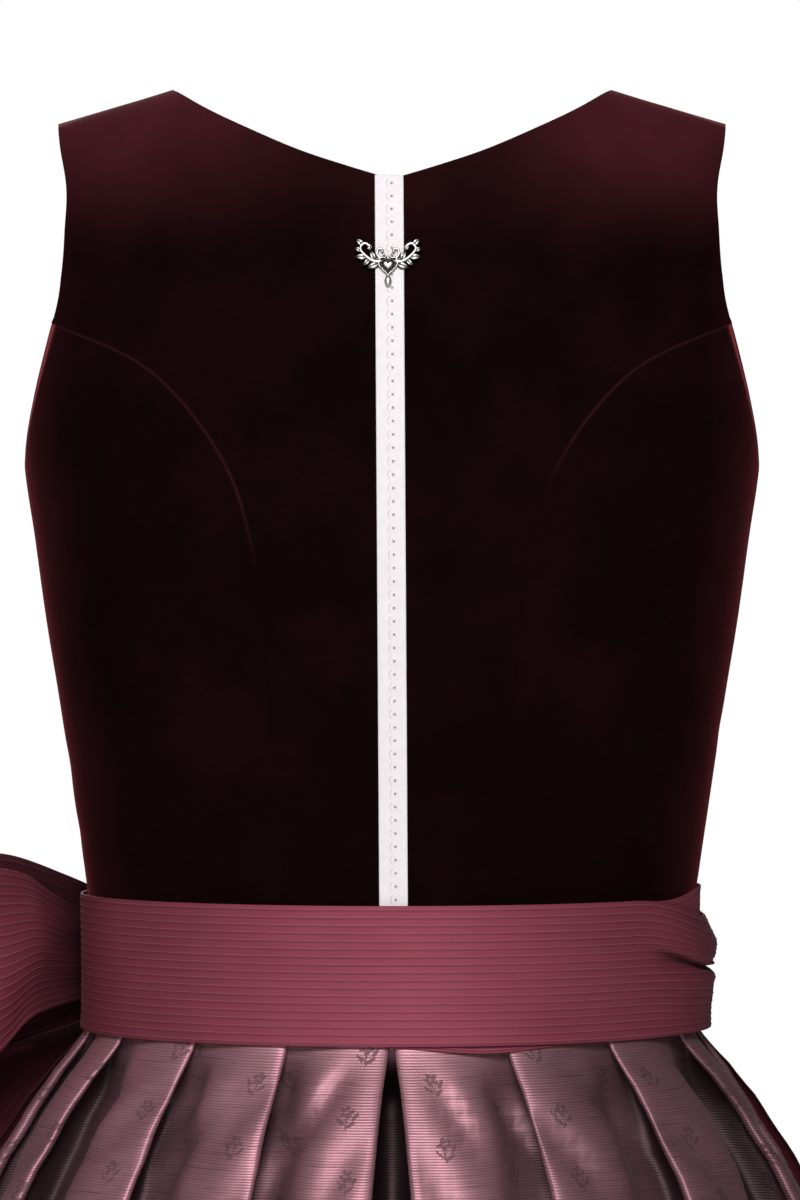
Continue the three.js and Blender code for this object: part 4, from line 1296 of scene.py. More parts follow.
@dataclass
class Skirt:
    """The pleated skirt, a back and a front width."""

    wall: float = 1.1
    rows: int = 64
    crowding: float = 1.7
    hem_rows: Numbers = (1.2, 0.3, 0)
    steps: int = 4
    side_panel: int = 4
    panel_shift: float = 131.0
    dent_start: Pair = (470, 490)
    shade_start: Pair = (462, 482)
    shade_fade: Pair = (560, 800)
    low_shade: float = 0.45
    hip_shade: float = 0.42
    hip_from: Pair = (18, 40)
    hip_to: Pair = (100, 130)
    hip_fade: Pair = (580, 760)
    pleats: Pleats = field(default_factory=Pleats)
    dents: Table = Table(
        "angle height turn long deep wide",
        (7, -524, -30, 26, 3.4, 6), (15, -502, -44, 24, 5.4, 5), (28, -498, -46, 26, 6.0, 5.5),
        (36, -517, -42, 34, 6.6, 6), (50, -500, -42, 28, 5.8, 5.5), (60, -520, -38, 34, 6.0, 6),
        (80, -510, -34, 40, 4.6, 7), (-8, -518, 38, 24, 3.0, 6), (-17, -498, 46, 26, 6.0, 5.5),
        (-24, -520, 44, 32, 6.8, 6), (-33, -500, 46, 28, 6.4, 5.5), (-44, -514, 44, 32, 6.6, 6),
        (-54, -502, 40, 30, 5.6, 5.5), (-70, -515, 34, 44, 5.0, 8), (12, -570, -16, 60, 3.4, 13),
        (40, -580, -18, 70, 3.6, 14), (70, -590, -16, 70, 3.6, 14), (-16, -575, 18, 64, 3.4, 13),
        (-42, -590, 16, 70, 3.6, 14), (-74, -585, 18, 70, 3.6, 14), (10, -700, 8, 120, 5.0, 22),
        (-12, -780, -9, 130, 5.5, 24), (32, -820, 10, 130, 5.5, 24), (-36, -720, -8, 120, 5.0, 22),
        (58, -740, 9, 120, 5.0, 22), (-60, -860, -8, 130, 5.5, 24), (88, -850, 7, 130, 5.0, 24),
        (-90, -760, 8, 120, 5.0, 24), (22, -960, -8, 110, 5.5, 22), (-22, -990, 9, 110, 5.5, 22),
    )

    def heights(self) -> Array:
        """Heights of the sections, closer together near the waist."""
        top, hem = SKIRT.rows[0, 0], SKIRT.rows[-1, 0]
        inside = lerp(top, hem, np.linspace(0, 1, self.rows) ** self.crowding)
        return np.concatenate([inside[:-1], hem + np.array(self.hem_rows)])

    def dent(self, angle: Array, height: Array) -> Array:
        """How far soft slanting hollows move the cloth out, which is never more than 0.

        Args:
            angle: the angles of some points.
            height: their heights.

        Returns:
            The distance at each point.
        """
        total = np.zeros_like(angle)
        for at, middle, turn, long, deep, wide in self.dents.rows:
            rise = height - middle
            across = (angle - at) * degree_length(SKIRT, at, middle)
            slant = math.radians(turn)
            along = rise * math.cos(slant) + across * math.sin(slant)
            off = across * math.cos(slant) - rise * math.sin(slant)
            total -= deep * np.exp(-(along / long) ** 2 - (off / wide) ** 2)
        return total * smooth(-height, *self.dent_start)

    def surface(self) -> tuple[Array, Array, Array]:
        """The middle of the cloth, all round.

        Returns:
            Its points, the way out of the cloth at each and the cloth coordinates.
        """
        rows, outs, across = [], [], []
        slack = self.finer(self.pleats.slack_marks())
        for height in self.heights():
            angles, lifts = self.pleats.ring(float(height))
            knots = oval_point(SKIRT, angles, height, lifts)[:, :2]
            line = through(knots, self.steps)
            turn = np.degrees(np.arctan2(line[:, 0], -line[:, 1]))
            shift = slack * self.dent(turn, np.full(len(line), height))
            oval = unit(np.stack([line[:, 0], line[:, 1]], -1))
            line = line + oval * shift[:, None]
            after, before = np.roll(line, -1, 0), np.roll(line, 1, 0)
            out = unit(np.stack([after[:, 1] - before[:, 1], before[:, 0] - after[:, 0]], -1))
            run = np.linalg.norm(line - before, axis=1)
            run[0] = 0
            across.append(self.panel_coordinates(np.cumsum(run)))
            rows.append(np.column_stack([line, np.full(len(line), height)]))
            outs.append(np.column_stack([out, np.zeros(len(line))]))
        points, normals = np.array(rows), np.array(outs)
        down = np.linalg.norm(np.diff(points, axis=0), axis=-1).mean(1)
        along = -np.concatenate([[0], np.cumsum(down)])
        uv = np.stack([np.array(across), np.repeat(along[:, None], points.shape[1], 1)], -1)
        return points, normals, uv

    def finer(self, knots: Array) -> Array:
        """Values at the finer points of a ring, from those at its knots."""
        shares = np.arange(self.steps) / self.steps
        return lerp(knots[:, None], np.roll(knots, -1)[:, None], shares[None, :]).ravel()

    def deep(self) -> Array:
        """How much painted shade the cloth gets where it lies hidden in the folds, on the same grid as the
        surface.
        """
        fine = self.finer(self.pleats.fold_shade_marks())
        heights = self.heights()[:, None]
        fade = lerp(1.0, self.low_shade, smooth(-heights, *self.shade_fade))
        return fine[None, :] * smooth(-heights, *self.shade_start) * fade

    def away(self, points: Array) -> Array:
        """Painted shade on the right hip, darkening it as if the cloth there turned out of the light."""
        angle = np.degrees(np.arctan2(points[..., 0], -points[..., 1]))
        side = smooth(angle, *self.hip_from) * (1 - smooth(angle, *self.hip_to))
        return self.hip_shade * side * (1 - smooth(-points[..., 2], *self.hip_fade))

    def panel_coordinates(self, run: Array) -> Array:
        """Cloth coordinates across, measured from the middle of each panel to keep the weave true.

        Args:
            run: the distance round one section at each of its points.

        Returns:
            The coordinate at each point.
        """
        per = self.pleats.per_fold * self.steps
        centre = len(self.pleats.folds.rows) * per
        away = np.arange(len(run)) - centre
        in_fold = self.pleats.fold_middle * self.steps
        panel = np.floor_divide(np.abs(away) - in_fold, per).astype(int) + 1
        to_middle = np.where(panel > 0, (panel - 1) * per + self.pleats.panel_middle * self.steps, 0)
        middle = np.clip(centre + np.sign(away) * to_middle, 0, len(run) - 1)
        return run - run[middle] + np.sign(away) * panel * self.panel_shift

    def build(self, jacquard: Material) -> list[Thing]:
        """Makes and dresses both widths.

        Args:
            jacquard: the material.

        Returns:
            The back width and the front width.
        """
        points, normals, uv = self.surface()
        # painted shade: in the fold hollows and on the right hip
        deep = np.maximum(self.deep(), self.away(points))
        per = self.pleats.per_fold
        seam = (self.side_panel * per + self.pleats.panel_start) * self.steps
        centre = len(self.pleats.folds.rows) * per * self.steps
        turns = points.shape[1]
        spans = {
            "skirt_back": (centre - seam, centre + seam),
            "skirt_front": (centre + seam, centre - seam + turns),
        }
        made = []
        for name, (start, end) in spans.items():
            picked = np.arange(start, end + 1) % turns
            line, out = points[:, picked], normals[:, picked]
            share = edge_share(line, 0.6)[..., None]
            half = out * self.wall / 2 * share
            wall = Wall(line + half, line - half, uv[:, picked], {"deep": deep[:, picked]})
            piece = wall.build(f"{name}_width")
            dress_up(piece, jacquard, name)
            run = np.linalg.norm(np.diff(line, axis=1), axis=-1).sum(1)
            length = float(-uv[-1, 0, 1])
            sheet_of(piece, (float(run.max()), length * HANG_SHARE))
            made.append(piece)
        return made


def ribbon_rows(ribs: int = RIB_COUNT) -> Grids:
    """The rows of points up a ribbon, with some on every rib.

    Args:
        ribs: how many ribs the ribbon has.

    Returns:
        The shares of the width, and how far each row stands on a rib, from 0 to 1.
    """
    offsets = np.array([-0.5, -0.3, -0.125, -0.09, -0.04, 0.0, 0.04, 0.09, 0.125, 0.3])
    heights = np.array([0.0, 0.0, 0.0, 0.0, 0.8, 1.0, 0.8, 0.0, 0.0, 0.0])
    middles = (np.arange(ribs) + 0.5) / ribs
    ups = (middles[:, None] + offsets[None, :] / ribs).ravel()
    marks = np.tile(heights, ribs)
    rim = [0.0, 0.0025, 0.008]
    inside = ups > rim[-1] + 0.002
    ups, marks = ups[inside], marks[inside]
    ups = np.concatenate([rim, ups, [1 - rim[2], 1 - rim[1], 1]])
    marks = np.concatenate([[0, 0, 0], marks, [0, 0, 0]])
    return ups, marks


@dataclass
class Sash:
    """The ribbed sash: two rounds and the layer beneath them."""

    wall: float = 1.2
    under_wall: float = 1.1
    rib: float = 0.24
    roll: float = 4.0
    sink: float = 2.4
    top: float = -401.0
    bottom: float = -468.0
    lift: float = 1.7
    knot: float = -126.9
    join: float = 87.0
    under: Pair = (-60.0, 96.0)
    columns: tuple[int, int, int] = (184, 72, 84)
    rims: Pair = (0.0006, 0.002)
    flat_width: float = 70.0
    least_lift: float = 1.3
    # painted shade on both sides, where the sash turns out of the light
    end_shade: float = 0.36
    end_from: Pair = (52, 80)
    end_to: Pair = (110, 140)
    pinch_reach: tuple[float, float, float, float] = (50, 84, 92, 124)
    drag_lines: Table = Table("depth up slope width", (1.2, 0.32, 0.004, 0.07), (-1.4, 0.55, 0.003, 0.06))
    slack: Table = Table("depth rate phase up reach", (0.7, 2.3, 40, 0.5, 0.6), (0.5, 5.1, 0, 0.2, 0.3))
    pinch: Table = Table(
        "up height lift", (0, -467.5, 3.2), (0.2, -458, 3.8), (0.36, -447.5, 5), (0.45, -441, 6.6),
        (0.5, -436.8, 3.0), (0.58, -434.4, 2.6), (0.68, -431.2, 5.8), (0.84, -425.4, 7.2),
        (0.93, -419, 4.4), (1, -411.5, 0.8))

    def pinched(self, angle: Array) -> Array:
        """How strongly the sash is drawn together at an angle."""
        rise, full, fade, end = self.pinch_reach
        return smooth(angle, rise, full) * (1 - smooth(angle, fade, end))

    def folds(self, angle: Array, up: Array) -> Array:
        """Soft drag lines that run from the gathered side into the back, and slack elsewhere.

        Args:
            angle: the angles of some points.
            up: their shares of the width.

        Returns:
            How far each point stands out.
        """
        from_gathers = self.pinch_reach[1] - angle
        lines, slack = 0.0, 0.0
        for depth, at, slope, width in self.drag_lines.rows:
            lines += depth * bump(up - at - slope * from_gathers, 0, width) * smooth(angle, 20, 70)
        for depth, rate, phase, at, reach in self.slack.rows:
            slack += depth * np.sin(np.radians(angle * rate + phase)) * bump(up, at, reach)
        return lines * (1 - 0.6 * self.pinched(angle)) + slack

    def crease(self, angle: Array, up: Array) -> Grids:
        """The deep fold at the gathered side.

        Args:
            angle: the angles of some points.
            up: their shares of the width.

        Returns:
            The roll of the upper half and the hollow under it, each from 0 to 1.
        """
        line = lerp(0.66, 0.5, smooth(angle, 52, 86))
        roll = smooth(up - line, -0.012, 0.024) * bump(np.maximum(up - line, 0), 0, 0.15)
        wide = lerp(0.1, 0.045, smooth(angle, 54, 74))
        under = smooth(line - up, -0.016, 0.012) * bump(np.maximum(line - up, 0), 0, wide)
        reach = smooth(angle, 51, 60) * (1 - smooth(angle, 93, 112))
        return reach * roll * smooth(angle, 50, 80), reach * under

    def wall_of(self, start: float, end: float, columns: int) -> Wall:
        """A stretch of the sash.

        Args:
            start: the angle where it starts.
            end: the angle where it ends.
            columns: the steps along it.

        Returns:
            The wall.
        """
        ups, ribs = ribbon_rows()
        angle = lerp(start, end, rimmed(columns, *self.rims))[None, :]
        up = ups[:, None]
        pinch = self.pinched(angle)
        row = self.pinch.row_of("up", up)
        height = lerp(lerp(self.bottom, self.top, up), self.pinch.read("height", row), pinch)
        lift = self.lift + pinch * self.pinch.read("lift", row) + 0.9 * np.maximum(self.folds(angle, up), -1)
        roll, under = self.crease(angle, up)
        lift = np.maximum(lift + self.roll * roll - self.sink * under, self.least_lift)
        inner = oval_point(WAIST_RING, angle, height, lift)
        full = oval_point(WAIST_RING, angle, height, lift + self.wall)
        made = self.ribbed(inner, full, ups, ribs)
        # painted shade: in the hollow under the gathered side's roll, and on both sides where the sash turns
        # out of the light
        around = np.abs(angle)
        ends = self.end_shade * smooth(around, *self.end_from) * (1 - smooth(around, *self.end_to))
        made.marks["deep"] = np.maximum(under * smooth(angle, 50, 66), ends + 0 * up)
        return made

    def ribbed(self, inner: Array, full: Array, ups: Array, ribs: Array) -> Wall:
        """Puts raised ribs on a ribbon's outer face and rounds its edges.

        Args:
            inner: the points of the inner face.
            full: the points of the outer face without its ribs.
            ups: each row's share of the width.
            ribs: how far each row stands on a rib.

        Returns:
            The wall, with its marks.
        """
        share = edge_share(full, 0.6)[..., None]
        out = unit(full - inner)
        middle = (inner + full) / 2
        half = np.linalg.norm(full - inner, axis=-1, keepdims=True) / 2
        mark = np.repeat(ribs[:, None], full.shape[1], 1)
        outer = middle + out * (half * share + self.rib * mark[..., None])
        across = run_across(full)
        uv = np.stack([across, np.repeat(ups[:, None] * RIBBON, full.shape[1], 1)], -1)
        return Wall(outer, middle - out * half * share, uv, {"rib": mark, "deep": mark * 0})

    def under_layer(self) -> Wall:
        """The layer beneath, seen above the gathers and as a sliver below the edge."""
        ups, ribs = ribbon_rows()
        angle = lerp(*self.under, rimmed(self.columns[2], *self.rims))[None, :]
        low = self.bottom + 0.2 - 3.6 * bump(angle, 17, 13)
        high = self.top - 1 + 5 * smooth(angle, 60, 84)
        height = lerp(low, high, ups[:, None])
        inner = oval_point(WAIST_RING, angle, height, 0.0)
        full = oval_point(WAIST_RING, angle, height, self.under_wall)
        return self.ribbed(inner, full, ups, ribs * 0.5)

    def build(self, satin: Material) -> list[Thing]:
        """Makes and dresses the three stretches.

        Args:
            satin: the material.

        Returns:
            The two rounds and the layer beneath.
        """
        made = []
        half_gap = 0.15
        front_start, front_end = self.join + half_gap, 360 + self.knot - half_gap
        walls = {
            "sash_round_back": ("sash_back", self.wall_of(self.knot, self.join, self.columns[0])),
            "sash_round_front": ("sash_front", self.wall_of(front_start, front_end, self.columns[1])),
            "sash_layer_under": ("sash_under", self.under_layer()),
        }
        for name, (node, wall) in walls.items():
            piece = dress_up(wall.build(name), satin, node)
            flat = (float(np.ptp(wall.uv[..., 0])), self.flat_width)
            sheet_of(piece, flat)
            made.append(piece)
        return made


@dataclass
class Apron:
    """The plain apron over the front of the skirt."""

    wall: float = 1.0
    top: float = -450.0
    hem: float = -1070.0
    span: Pair = (97.0, 263.0)
    rows: int = 70
    crowding: float = 1.6
    hem_rows: Numbers = (0.998, 0.9995, 1)
    waves: int = 14
    per_wave: int = 14
    side_hem: float = 5.0
    hem_shade: float = 0.85
    profile: Table = Table(
        "height clear wave", (-450, 0.3, 0.1), (-468, 0.3, 0.1), (-505, 0.8, 2), (-600, 1, 4.5),
        (-800, 1, 7), (-1070, 1, 8))

    def lift(self, angle: Values, height: Values) -> Array:
        """How far the outer face stands off the skirt's oval.

        Args:
            angle: the angles of some points.
            height: their heights.

        Returns:
            The distance at each point.
        """
        step = SKIRT.read("step", SKIRT.row_of("height", height))
        at = self.profile.row_of("height", height)
        share = (angle - self.span[0]) / (self.span[1] - self.span[0])
        gather = 1 + np.cos(math.tau * self.waves * share)
        drift = 0.5 + 0.5 * np.sin(math.tau * share * 4.6 + 1.1)
        uneven = 1 - 0.28 * drift * smooth(-np.asarray(height), 470, 600)
        stand = 2 * step + Skirt.wall / 2 + self.profile.read("clear", at) + self.wall
        return stand + self.profile.read("wave", at) * gather * uneven

    def crest(self, height: Values) -> Array:
        """How far the top of a gather stands off the skirt's oval."""
        return self.lift(self.span[0], height)

    def build(self, satin: Material) -> list[Thing]:
        """Makes and dresses the apron.

        Args:
            satin: the material.

        Returns:
            The one piece.
        """
        share = np.linspace(0, 1, self.rows) ** self.crowding
        height = lerp(self.top, self.hem, np.concatenate([share[:-1], self.hem_rows]))[:, None]
        angle = lerp(*self.span, rimmed(self.waves * self.per_wave, 0.0003, 0.001))[None, :]
        lift = self.lift(angle, height)
        outer = oval_point(SKIRT, angle, height, lift)
        inner = oval_point(SKIRT, angle, height, lift - self.wall)
        share = edge_share(outer, 0.5)[..., None]
        middle = (outer + inner) / 2
        half = (outer - inner) / 2 * share
        run = run_across(outer)
        down = np.linalg.norm(np.diff(outer, axis=0), axis=-1).mean(1)
        along = -np.concatenate([[0], np.cumsum(down)])
        uv = np.stack([run - run[:, -1:] / 2, np.repeat(along[:, None], outer.shape[1], 1)], -1)
        # painted shade: the side hems are darkened strongly
        edges = np.maximum(bump(run, 0, self.side_hem), bump(run[:, -1:] - run, 0, self.side_hem))
        marks = {"deep": self.hem_shade * edges}
        piece = Wall(middle + half, middle - half, uv, marks).build("apron_front")
        dress_up(piece, satin, "apron")
        flat = (float(run.max()), float(-along[-1]) * HANG_SHARE)
        sheet_of(piece, flat)
        return [piece]


@dataclass
class Bow:
    """The bow at the left front: a knot, two loops and two ends."""

    apron: Apron
    sash: Sash
    angle: float = -127.0
    height: float = -437.0
    wall: float = 1.2
    flat_width: float = 78.0
    loop_columns: int = 112
    end_rows: int = 72
    end_slant: float = 16.0
    knot_grid: tuple[int, int] = (96, 40)
    knot_half: tuple[float, float, float] = (15.0, 9.0, 23.0)
    knot_out: float = 9.5
    knot_least_out: float = 0.45
    knot_square: float = 3.4
    knot_ribs: int = 24
    knot_rib: float = 0.35
    loop: Table = Table(
        "along out low high", (15.6, 12.6, -457, -408), (42, 16, -475, -396), (75, 25, -487, -384),
        (110, 29, -490, -383), (138, 23, -490, -383), (148, 9, -490, -384), (138, -5, -489, -386),
        (108, -9, -482, -388), (84, -6, -466, -393), (66, -1, -461, -402), (42, 3, -457, -413.5),
        (15.6, 8, -452, -423))
    outer_tail: Table = Table(
        "height angle width clear flare", (-460.6, -124.5, 22, 9.5, 0), (-469, -118, 46, 5, 6),
        (-477, -114, 56, 6, 22), (-485, -112, 60, 8, 33), (-499, -110, 62, 10, 35), (-530, -108, 64, 11, 31),
        (-580, -107, 66, 9, 18), (-650, -106, 67, 6, 7), (-740, -106, 68, 4, 2), (-872, -105, 68, 4, 0))
    inner_tail: Table = Table(
        "height angle width clear flare", (-460.6, -129.5, 22, 9.5, 0), (-482, -134, 38, 8, 0),
        (-515, -137, 56, 6, 0), (-600, -138, 66, 5, 0), (-720, -138, 68, 4, 0), (-845, -138, 68, 4, 0))

    def __post_init__(self) -> None:
        """Works out the bow's own axes at the middle of the sash under the knot."""
        seat = oval_point(WAIST_RING, self.angle, self.height, self.sash.lift + self.sash.wall)
        ring = oval_point(WAIST_RING, self.angle, self.height, 0.0)
        self.seat = seat
        self.out = unit(seat - ring)
        self.along = np.array([-self.out[1], self.out[0], 0.0])

    def place(self, along: Array, out: Array, height: Array) -> Array:
        """Points from distances along the waist and out of the sash, and heights."""
        flat = self.seat + along[..., None] * self.along + out[..., None] * self.out
        return np.concatenate([flat[..., :2], np.broadcast_to(height, along.shape)[..., None]], -1)

    def loop_wall(self, side: int) -> Wall:
        """A loop of ribbon.

        Args:
            side: 1 for the loop that points to the back, -1 for the one to the front.

        Returns:
            The wall, with its marks.
        """
        found = self.loop.spread(self.loop.names, self.loop_columns)
        along, out, low, high = (values[None, :] for values in found)
        run = np.stack([np.gradient(along[0]), np.gradient(out[0])], -1)
        run = unit(run)[None, :, :]
        ups, ribs = ribbon_rows()
        up = ups[:, None]
        opened = smooth(along, 15.6, 75)
        gather = (1 - opened) * 2.0 * np.cos(math.tau * 2.5 * up) * smooth(along, 15.6, 24)
        ripple = 1.6 * opened * np.sin(math.tau * (1.1 * up + along / 120)) * bump(along, 90, 50)
        cup = 2.5 * opened * np.sin(math.pi * up) + gather + ripple
        height = lerp(low, high, up)
        faces = []
        for off in (-self.wall / 2, self.wall / 2):
            shifted = along - run[..., 1] * (cup + off)
            lifted = out + run[..., 0] * (cup + off)
            faces.append(self.place(side * shifted, lifted, height))
        made = self.sash.ribbed(faces[0], faces[1], ups, ribs)
        # painted shade: the loop's returning half darkens on its outer face towards the knot, and its inner
        # face is dark all over, darkest by the knot
        near = 1 - smooth(along, 44, 92)
        under = smooth(np.arange(along.shape[1]) / along.shape[1], 0.5, 0.6)
        inside = 0.62 + 0.34 * near
        made.marks["deep"] = np.stack(np.broadcast_arrays(0.94 * near * under + 0 * up, inside + 0 * up))
        return made

    def tail_wall(self, table: Table, slant: float) -> Wall:
        """A ribbon end that hangs over the apron and the skirt.

        Args:
            table: its middle line, width and distance from the apron, by height.
            slant: how much lower one corner of its cut hangs.

        Returns:
            The wall, with its marks.
        """
        found = table.spread(table.names, self.end_rows)
        height, angle, width, clear, flare = (values[None, :] for values in found)
        ups, ribs = ribbon_rows()
        across = ups[:, None] - 0.5
        share = np.linspace(0, 1, self.end_rows + 1)[None, :]
        height = height + share ** 4 * slant * across
        turn = angle + across * width / degree_length(SKIRT, angle, height)
        ripple = 1.6 * np.cos(4 * math.pi * across) * share
        ripple = ripple + 1.2 * np.sin(math.tau * (share * 2.2 + across * 0.4))
        gather = 1.6 * np.cos(math.tau * 2.5 * across) * (1 - smooth(share, 0, 0.22))
        lift = self.apron.crest(height) + clear + (ripple + gather) * smooth(share, 0.0, 0.12)
        lift = lift + flare * (across + 0.5)
        inner = oval_point(SKIRT, turn, height, lift)
        full = oval_point(SKIRT, turn, height, lift + self.wall)
        made = self.sash.ribbed(inner, full, ups, ribs)
        # painted shade: the end is dark at its top, under the loop, fading out lower down
        made.marks["deep"] = 0.85 * (1 - smooth(-height, 490, 560)) + 0 * across
        return made

    def knot(self) -> Thing:
        """The plump wrap in the middle, with its ribs running up and over it.

        Returns:
            The knot, with its cloth coordinates and marks.
        """
        columns, rows = self.knot_grid
        half_along, half_out, half_height = self.knot_half
        lean = np.linspace(-math.pi / 2, math.pi / 2, rows + 1)[:, None] * 0.995
        turn = np.linspace(0, math.tau, columns, endpoint=False)[None, :]
        power = 2 / self.knot_square
        size = np.maximum(np.cos(lean), 1e-4) ** power
        rise = np.sign(lean) * np.abs(np.sin(lean)) ** power
        sine, cosine = np.sin(turn), np.cos(turn)
        rib = np.maximum(np.cos(turn * self.knot_ribs), 0) ** 3 * self.knot_rib
        crease = 0.9 * bump(np.sin(turn * 3 + 0.6 * rise), -1, 0.5) * (cosine > 0)
        along = (half_along + rib - crease * 0.3) * size * np.sign(sine) * np.abs(sine) ** power
        out = (half_out + rib - crease) * size * np.sign(cosine) * np.abs(cosine) ** power
        out = np.maximum(self.knot_out + out, self.knot_least_out)
        height = np.broadcast_to(self.height + half_height * rise, along.shape)
        places = self.place(along, out, height).reshape(-1, 3)
        faces = tube_faces(rows + 1, columns)
        if signed_volume(places, faces) < 0:
            faces = faces[:, ::-1]
        piece = mesh_object("bow_knot_wrap", places, faces)
        flat = np.stack(np.broadcast_arrays(turn * half_along, rise * half_height), -1)
        write_cloth(piece, flat.reshape(-1, 2))
        write_mark(piece, "rib", np.broadcast_to(rib / self.knot_rib, along.shape))
        return piece

    def build(self, satin: Material) -> list[Thing]:
        """Makes and dresses the five pieces.

        Args:
            satin: the material.

        Returns:
            The knot, the two loops and the two ends.
        """
        made = [dress_up(self.knot(), satin, "bow_knot")]
        walls = {
            "bow_loop_back": ("bow_loop_outer", self.loop_wall(1)),
            "bow_loop_front": ("bow_loop_inner", self.loop_wall(-1)),
            "bow_end_back": ("bow_tail_outer", self.tail_wall(self.outer_tail, self.end_slant)),
            "bow_end_front": ("bow_tail_inner", self.tail_wall(self.inner_tail, -self.end_slant)),
        }
        for name, (node, wall) in walls.items():
            piece = dress_up(wall.build(name), satin, node)
            flat = (float(np.ptp(wall.uv[..., 0])), self.flat_width)
            sheet_of(piece, flat)
            made.append(piece)
        return made


@dataclass
class LaceTape:
    """The white tape down the centre back."""

    half: float = 6.85
    lean: Pair = (1.0, -1.2)
    lift: float = 0.3
    wall: float = 1.0
    low: float = -415.0
    high: float = -52.4
    rows: int = 260
    cord: float = 0.35
    edge_columns: Numbers = (0.84, 0.9, 0.95, 0.985, 1)
    middle_columns: Numbers = (-0.6, -0.35, -0.1, 0.15, 0.4, 0.65)
    allowance: Pair = (0.6, 8.0)

    def build(self, tape: Material) -> list[Thing]:
        """Makes and dresses the tape, with a thicker cord along each edge.

        Args:
            tape: the material.

        Returns:
            The tape, its eyelets and its stitches.
        """
        edge = np.array(self.edge_columns)
        share = np.concatenate([-edge[::-1], self.middle_columns, edge])[None, :]
        height = lerp(self.low, self.high, rimmed(self.rows, 0.0004, 0.001))[:, None]
        across = share * self.half + self.shift(height)
        angle, level = Torso.seat(np.abs(across), None, np.broadcast_to(height, across.shape), False)
        angle = angle * np.sign(across)
        point, out = Torso.point(angle, level), Torso.normal(angle, level)
        cord = self.cord * bump(np.abs(share), 0.92, 0.05)
        full = point + out * (self.lift + self.wall + cord)[..., None]
        inner = point + out * self.lift
        keep = edge_share(full, 0.4)[..., None]
        middle = (full + inner) / 2
        uv = np.stack(np.broadcast_arrays(share * self.half, height), -1)
        wall = Wall(middle + (full - middle) * keep, middle + (inner - middle) * keep, uv)
        piece = dress_up(wall.build("back_tape"), tape, "back_lace")
        flat = (2 * self.half + self.allowance[0], self.high - self.low + self.allowance[1])
        sheet_of(piece, flat)
        return [piece, self.eyelets(tape), *self.stitches(tape)]

    def shift(self, height: Array) -> Array:
        """How far the tape's middle lies to the right, as it is sewn on with a slight lean."""
        return lerp(*self.lean, (height - self.low) / (self.high - self.low))

    def line(self, across: float, lift: float) -> Array:
        """The points of a line up the tape's face, off its middle and lifted from it."""
        height = np.linspace(self.low + 4, self.high - 4.2, 120)
        side = across + self.shift(height)
        angle, level = Torso.seat(np.abs(side), None, height, False)
        angle = angle * np.sign(side)
        return Torso.point(angle, level) + Torso.normal(angle, level) * (self.lift + self.wall + lift)

    def eyelets(self, tape: Material) -> Thing:
        """Works a column of small eyelets and scallops into the tape.

        Args:
            tape: the tape's material.

        Returns:
            All of them as one piece.
        """
        # painted shade: a dark grey disc stands for each eyelet's hole and the shade in it
        hole_shade = ShaderSheet("eyelet_shade").finish({"Base Color": (0.26, 0.23, 0.24), "Roughness": 0.9})
        # painted shadow: the scallop threads are coloured a shadow grey
        scallop_shade = ShaderSheet("scallop_painted_shade").finish({"Base Color": (0.60, 0.57, 0.58), "Roughness": 0.9})
        trail = Trail("tape_eyelets", {
            "Pitch": 6.35, "Eyelet": 0.95, "Thread": 0.24, "Scallop": 2.5, "Fine thread": 0.2, "Hole": 0.56})
        circle = {"Resolution": 20, "Radius": trail.size("Eyelet")}
        loop = trail.node("GeometryNodeCurvePrimitiveCircle", {}, circle)
        arc = {"Resolution": 14, "Radius": trail.size("Scallop"), "Start Angle": math.radians(125),
               "Sweep Angle": math.radians(110)}
        bow = trail.node("GeometryNodeCurveArc", {}, arc)
        disc = trail.node("GeometryNodeMeshCylinder", {}, {
            "Vertices": 16, "Radius": trail.size("Hole"), "Depth": trail.size("Fine thread")})
        turned = trail.node("GeometryNodeTransform", {}, {
            "Geometry": disc.outputs[0], "Rotation": (math.pi / 2, 0.0, 0.0)})
        trail.finish([
            trail.painted(trail.thread(loop.outputs[0], "Thread", 6), tape),
            trail.painted(trail.thread(bow.outputs[0], "Fine thread", 5), scallop_shade),
            trail.painted(turned.outputs[0], hole_shade),
        ])
        return seated(trail.grow("tape_eyelets", self.line(1.1, 0.02)))

    def stitches(self, tape: Material) -> list[Thing]:
        """Sews the tape down along both edges.

        Args:
            tape: the tape's material.

        Returns:
            The stitches of the right edge and of the left edge.
        """
        trail = Trail("tape_stitches", {"Pitch": 2.4, "Length": 0.8, "Thread": 0.2})
        grain = trail.node("GeometryNodeMeshUVSphere", {}, {"Segments": 6, "Rings": 4, "Radius": 1.0})
        reach = trail.node("ShaderNodeCombineXYZ", {}, {
            0: trail.size("Thread"), 1: trail.size("Thread"), 2: trail.size("Length")})
        inputs = {"Geometry": grain.outputs[0], "Scale": reach.outputs[0]}
        scaled = trail.node("GeometryNodeTransform", {}, inputs)
        trail.finish([scaled.outputs[0]], tape)
        lines = {side: self.line(side.value * self.half * 0.8, 0.02) for side in Side}
        return [seated(trail.grow(f"tape_stitches_{side.word}", line))
                for side, line in lines.items()]


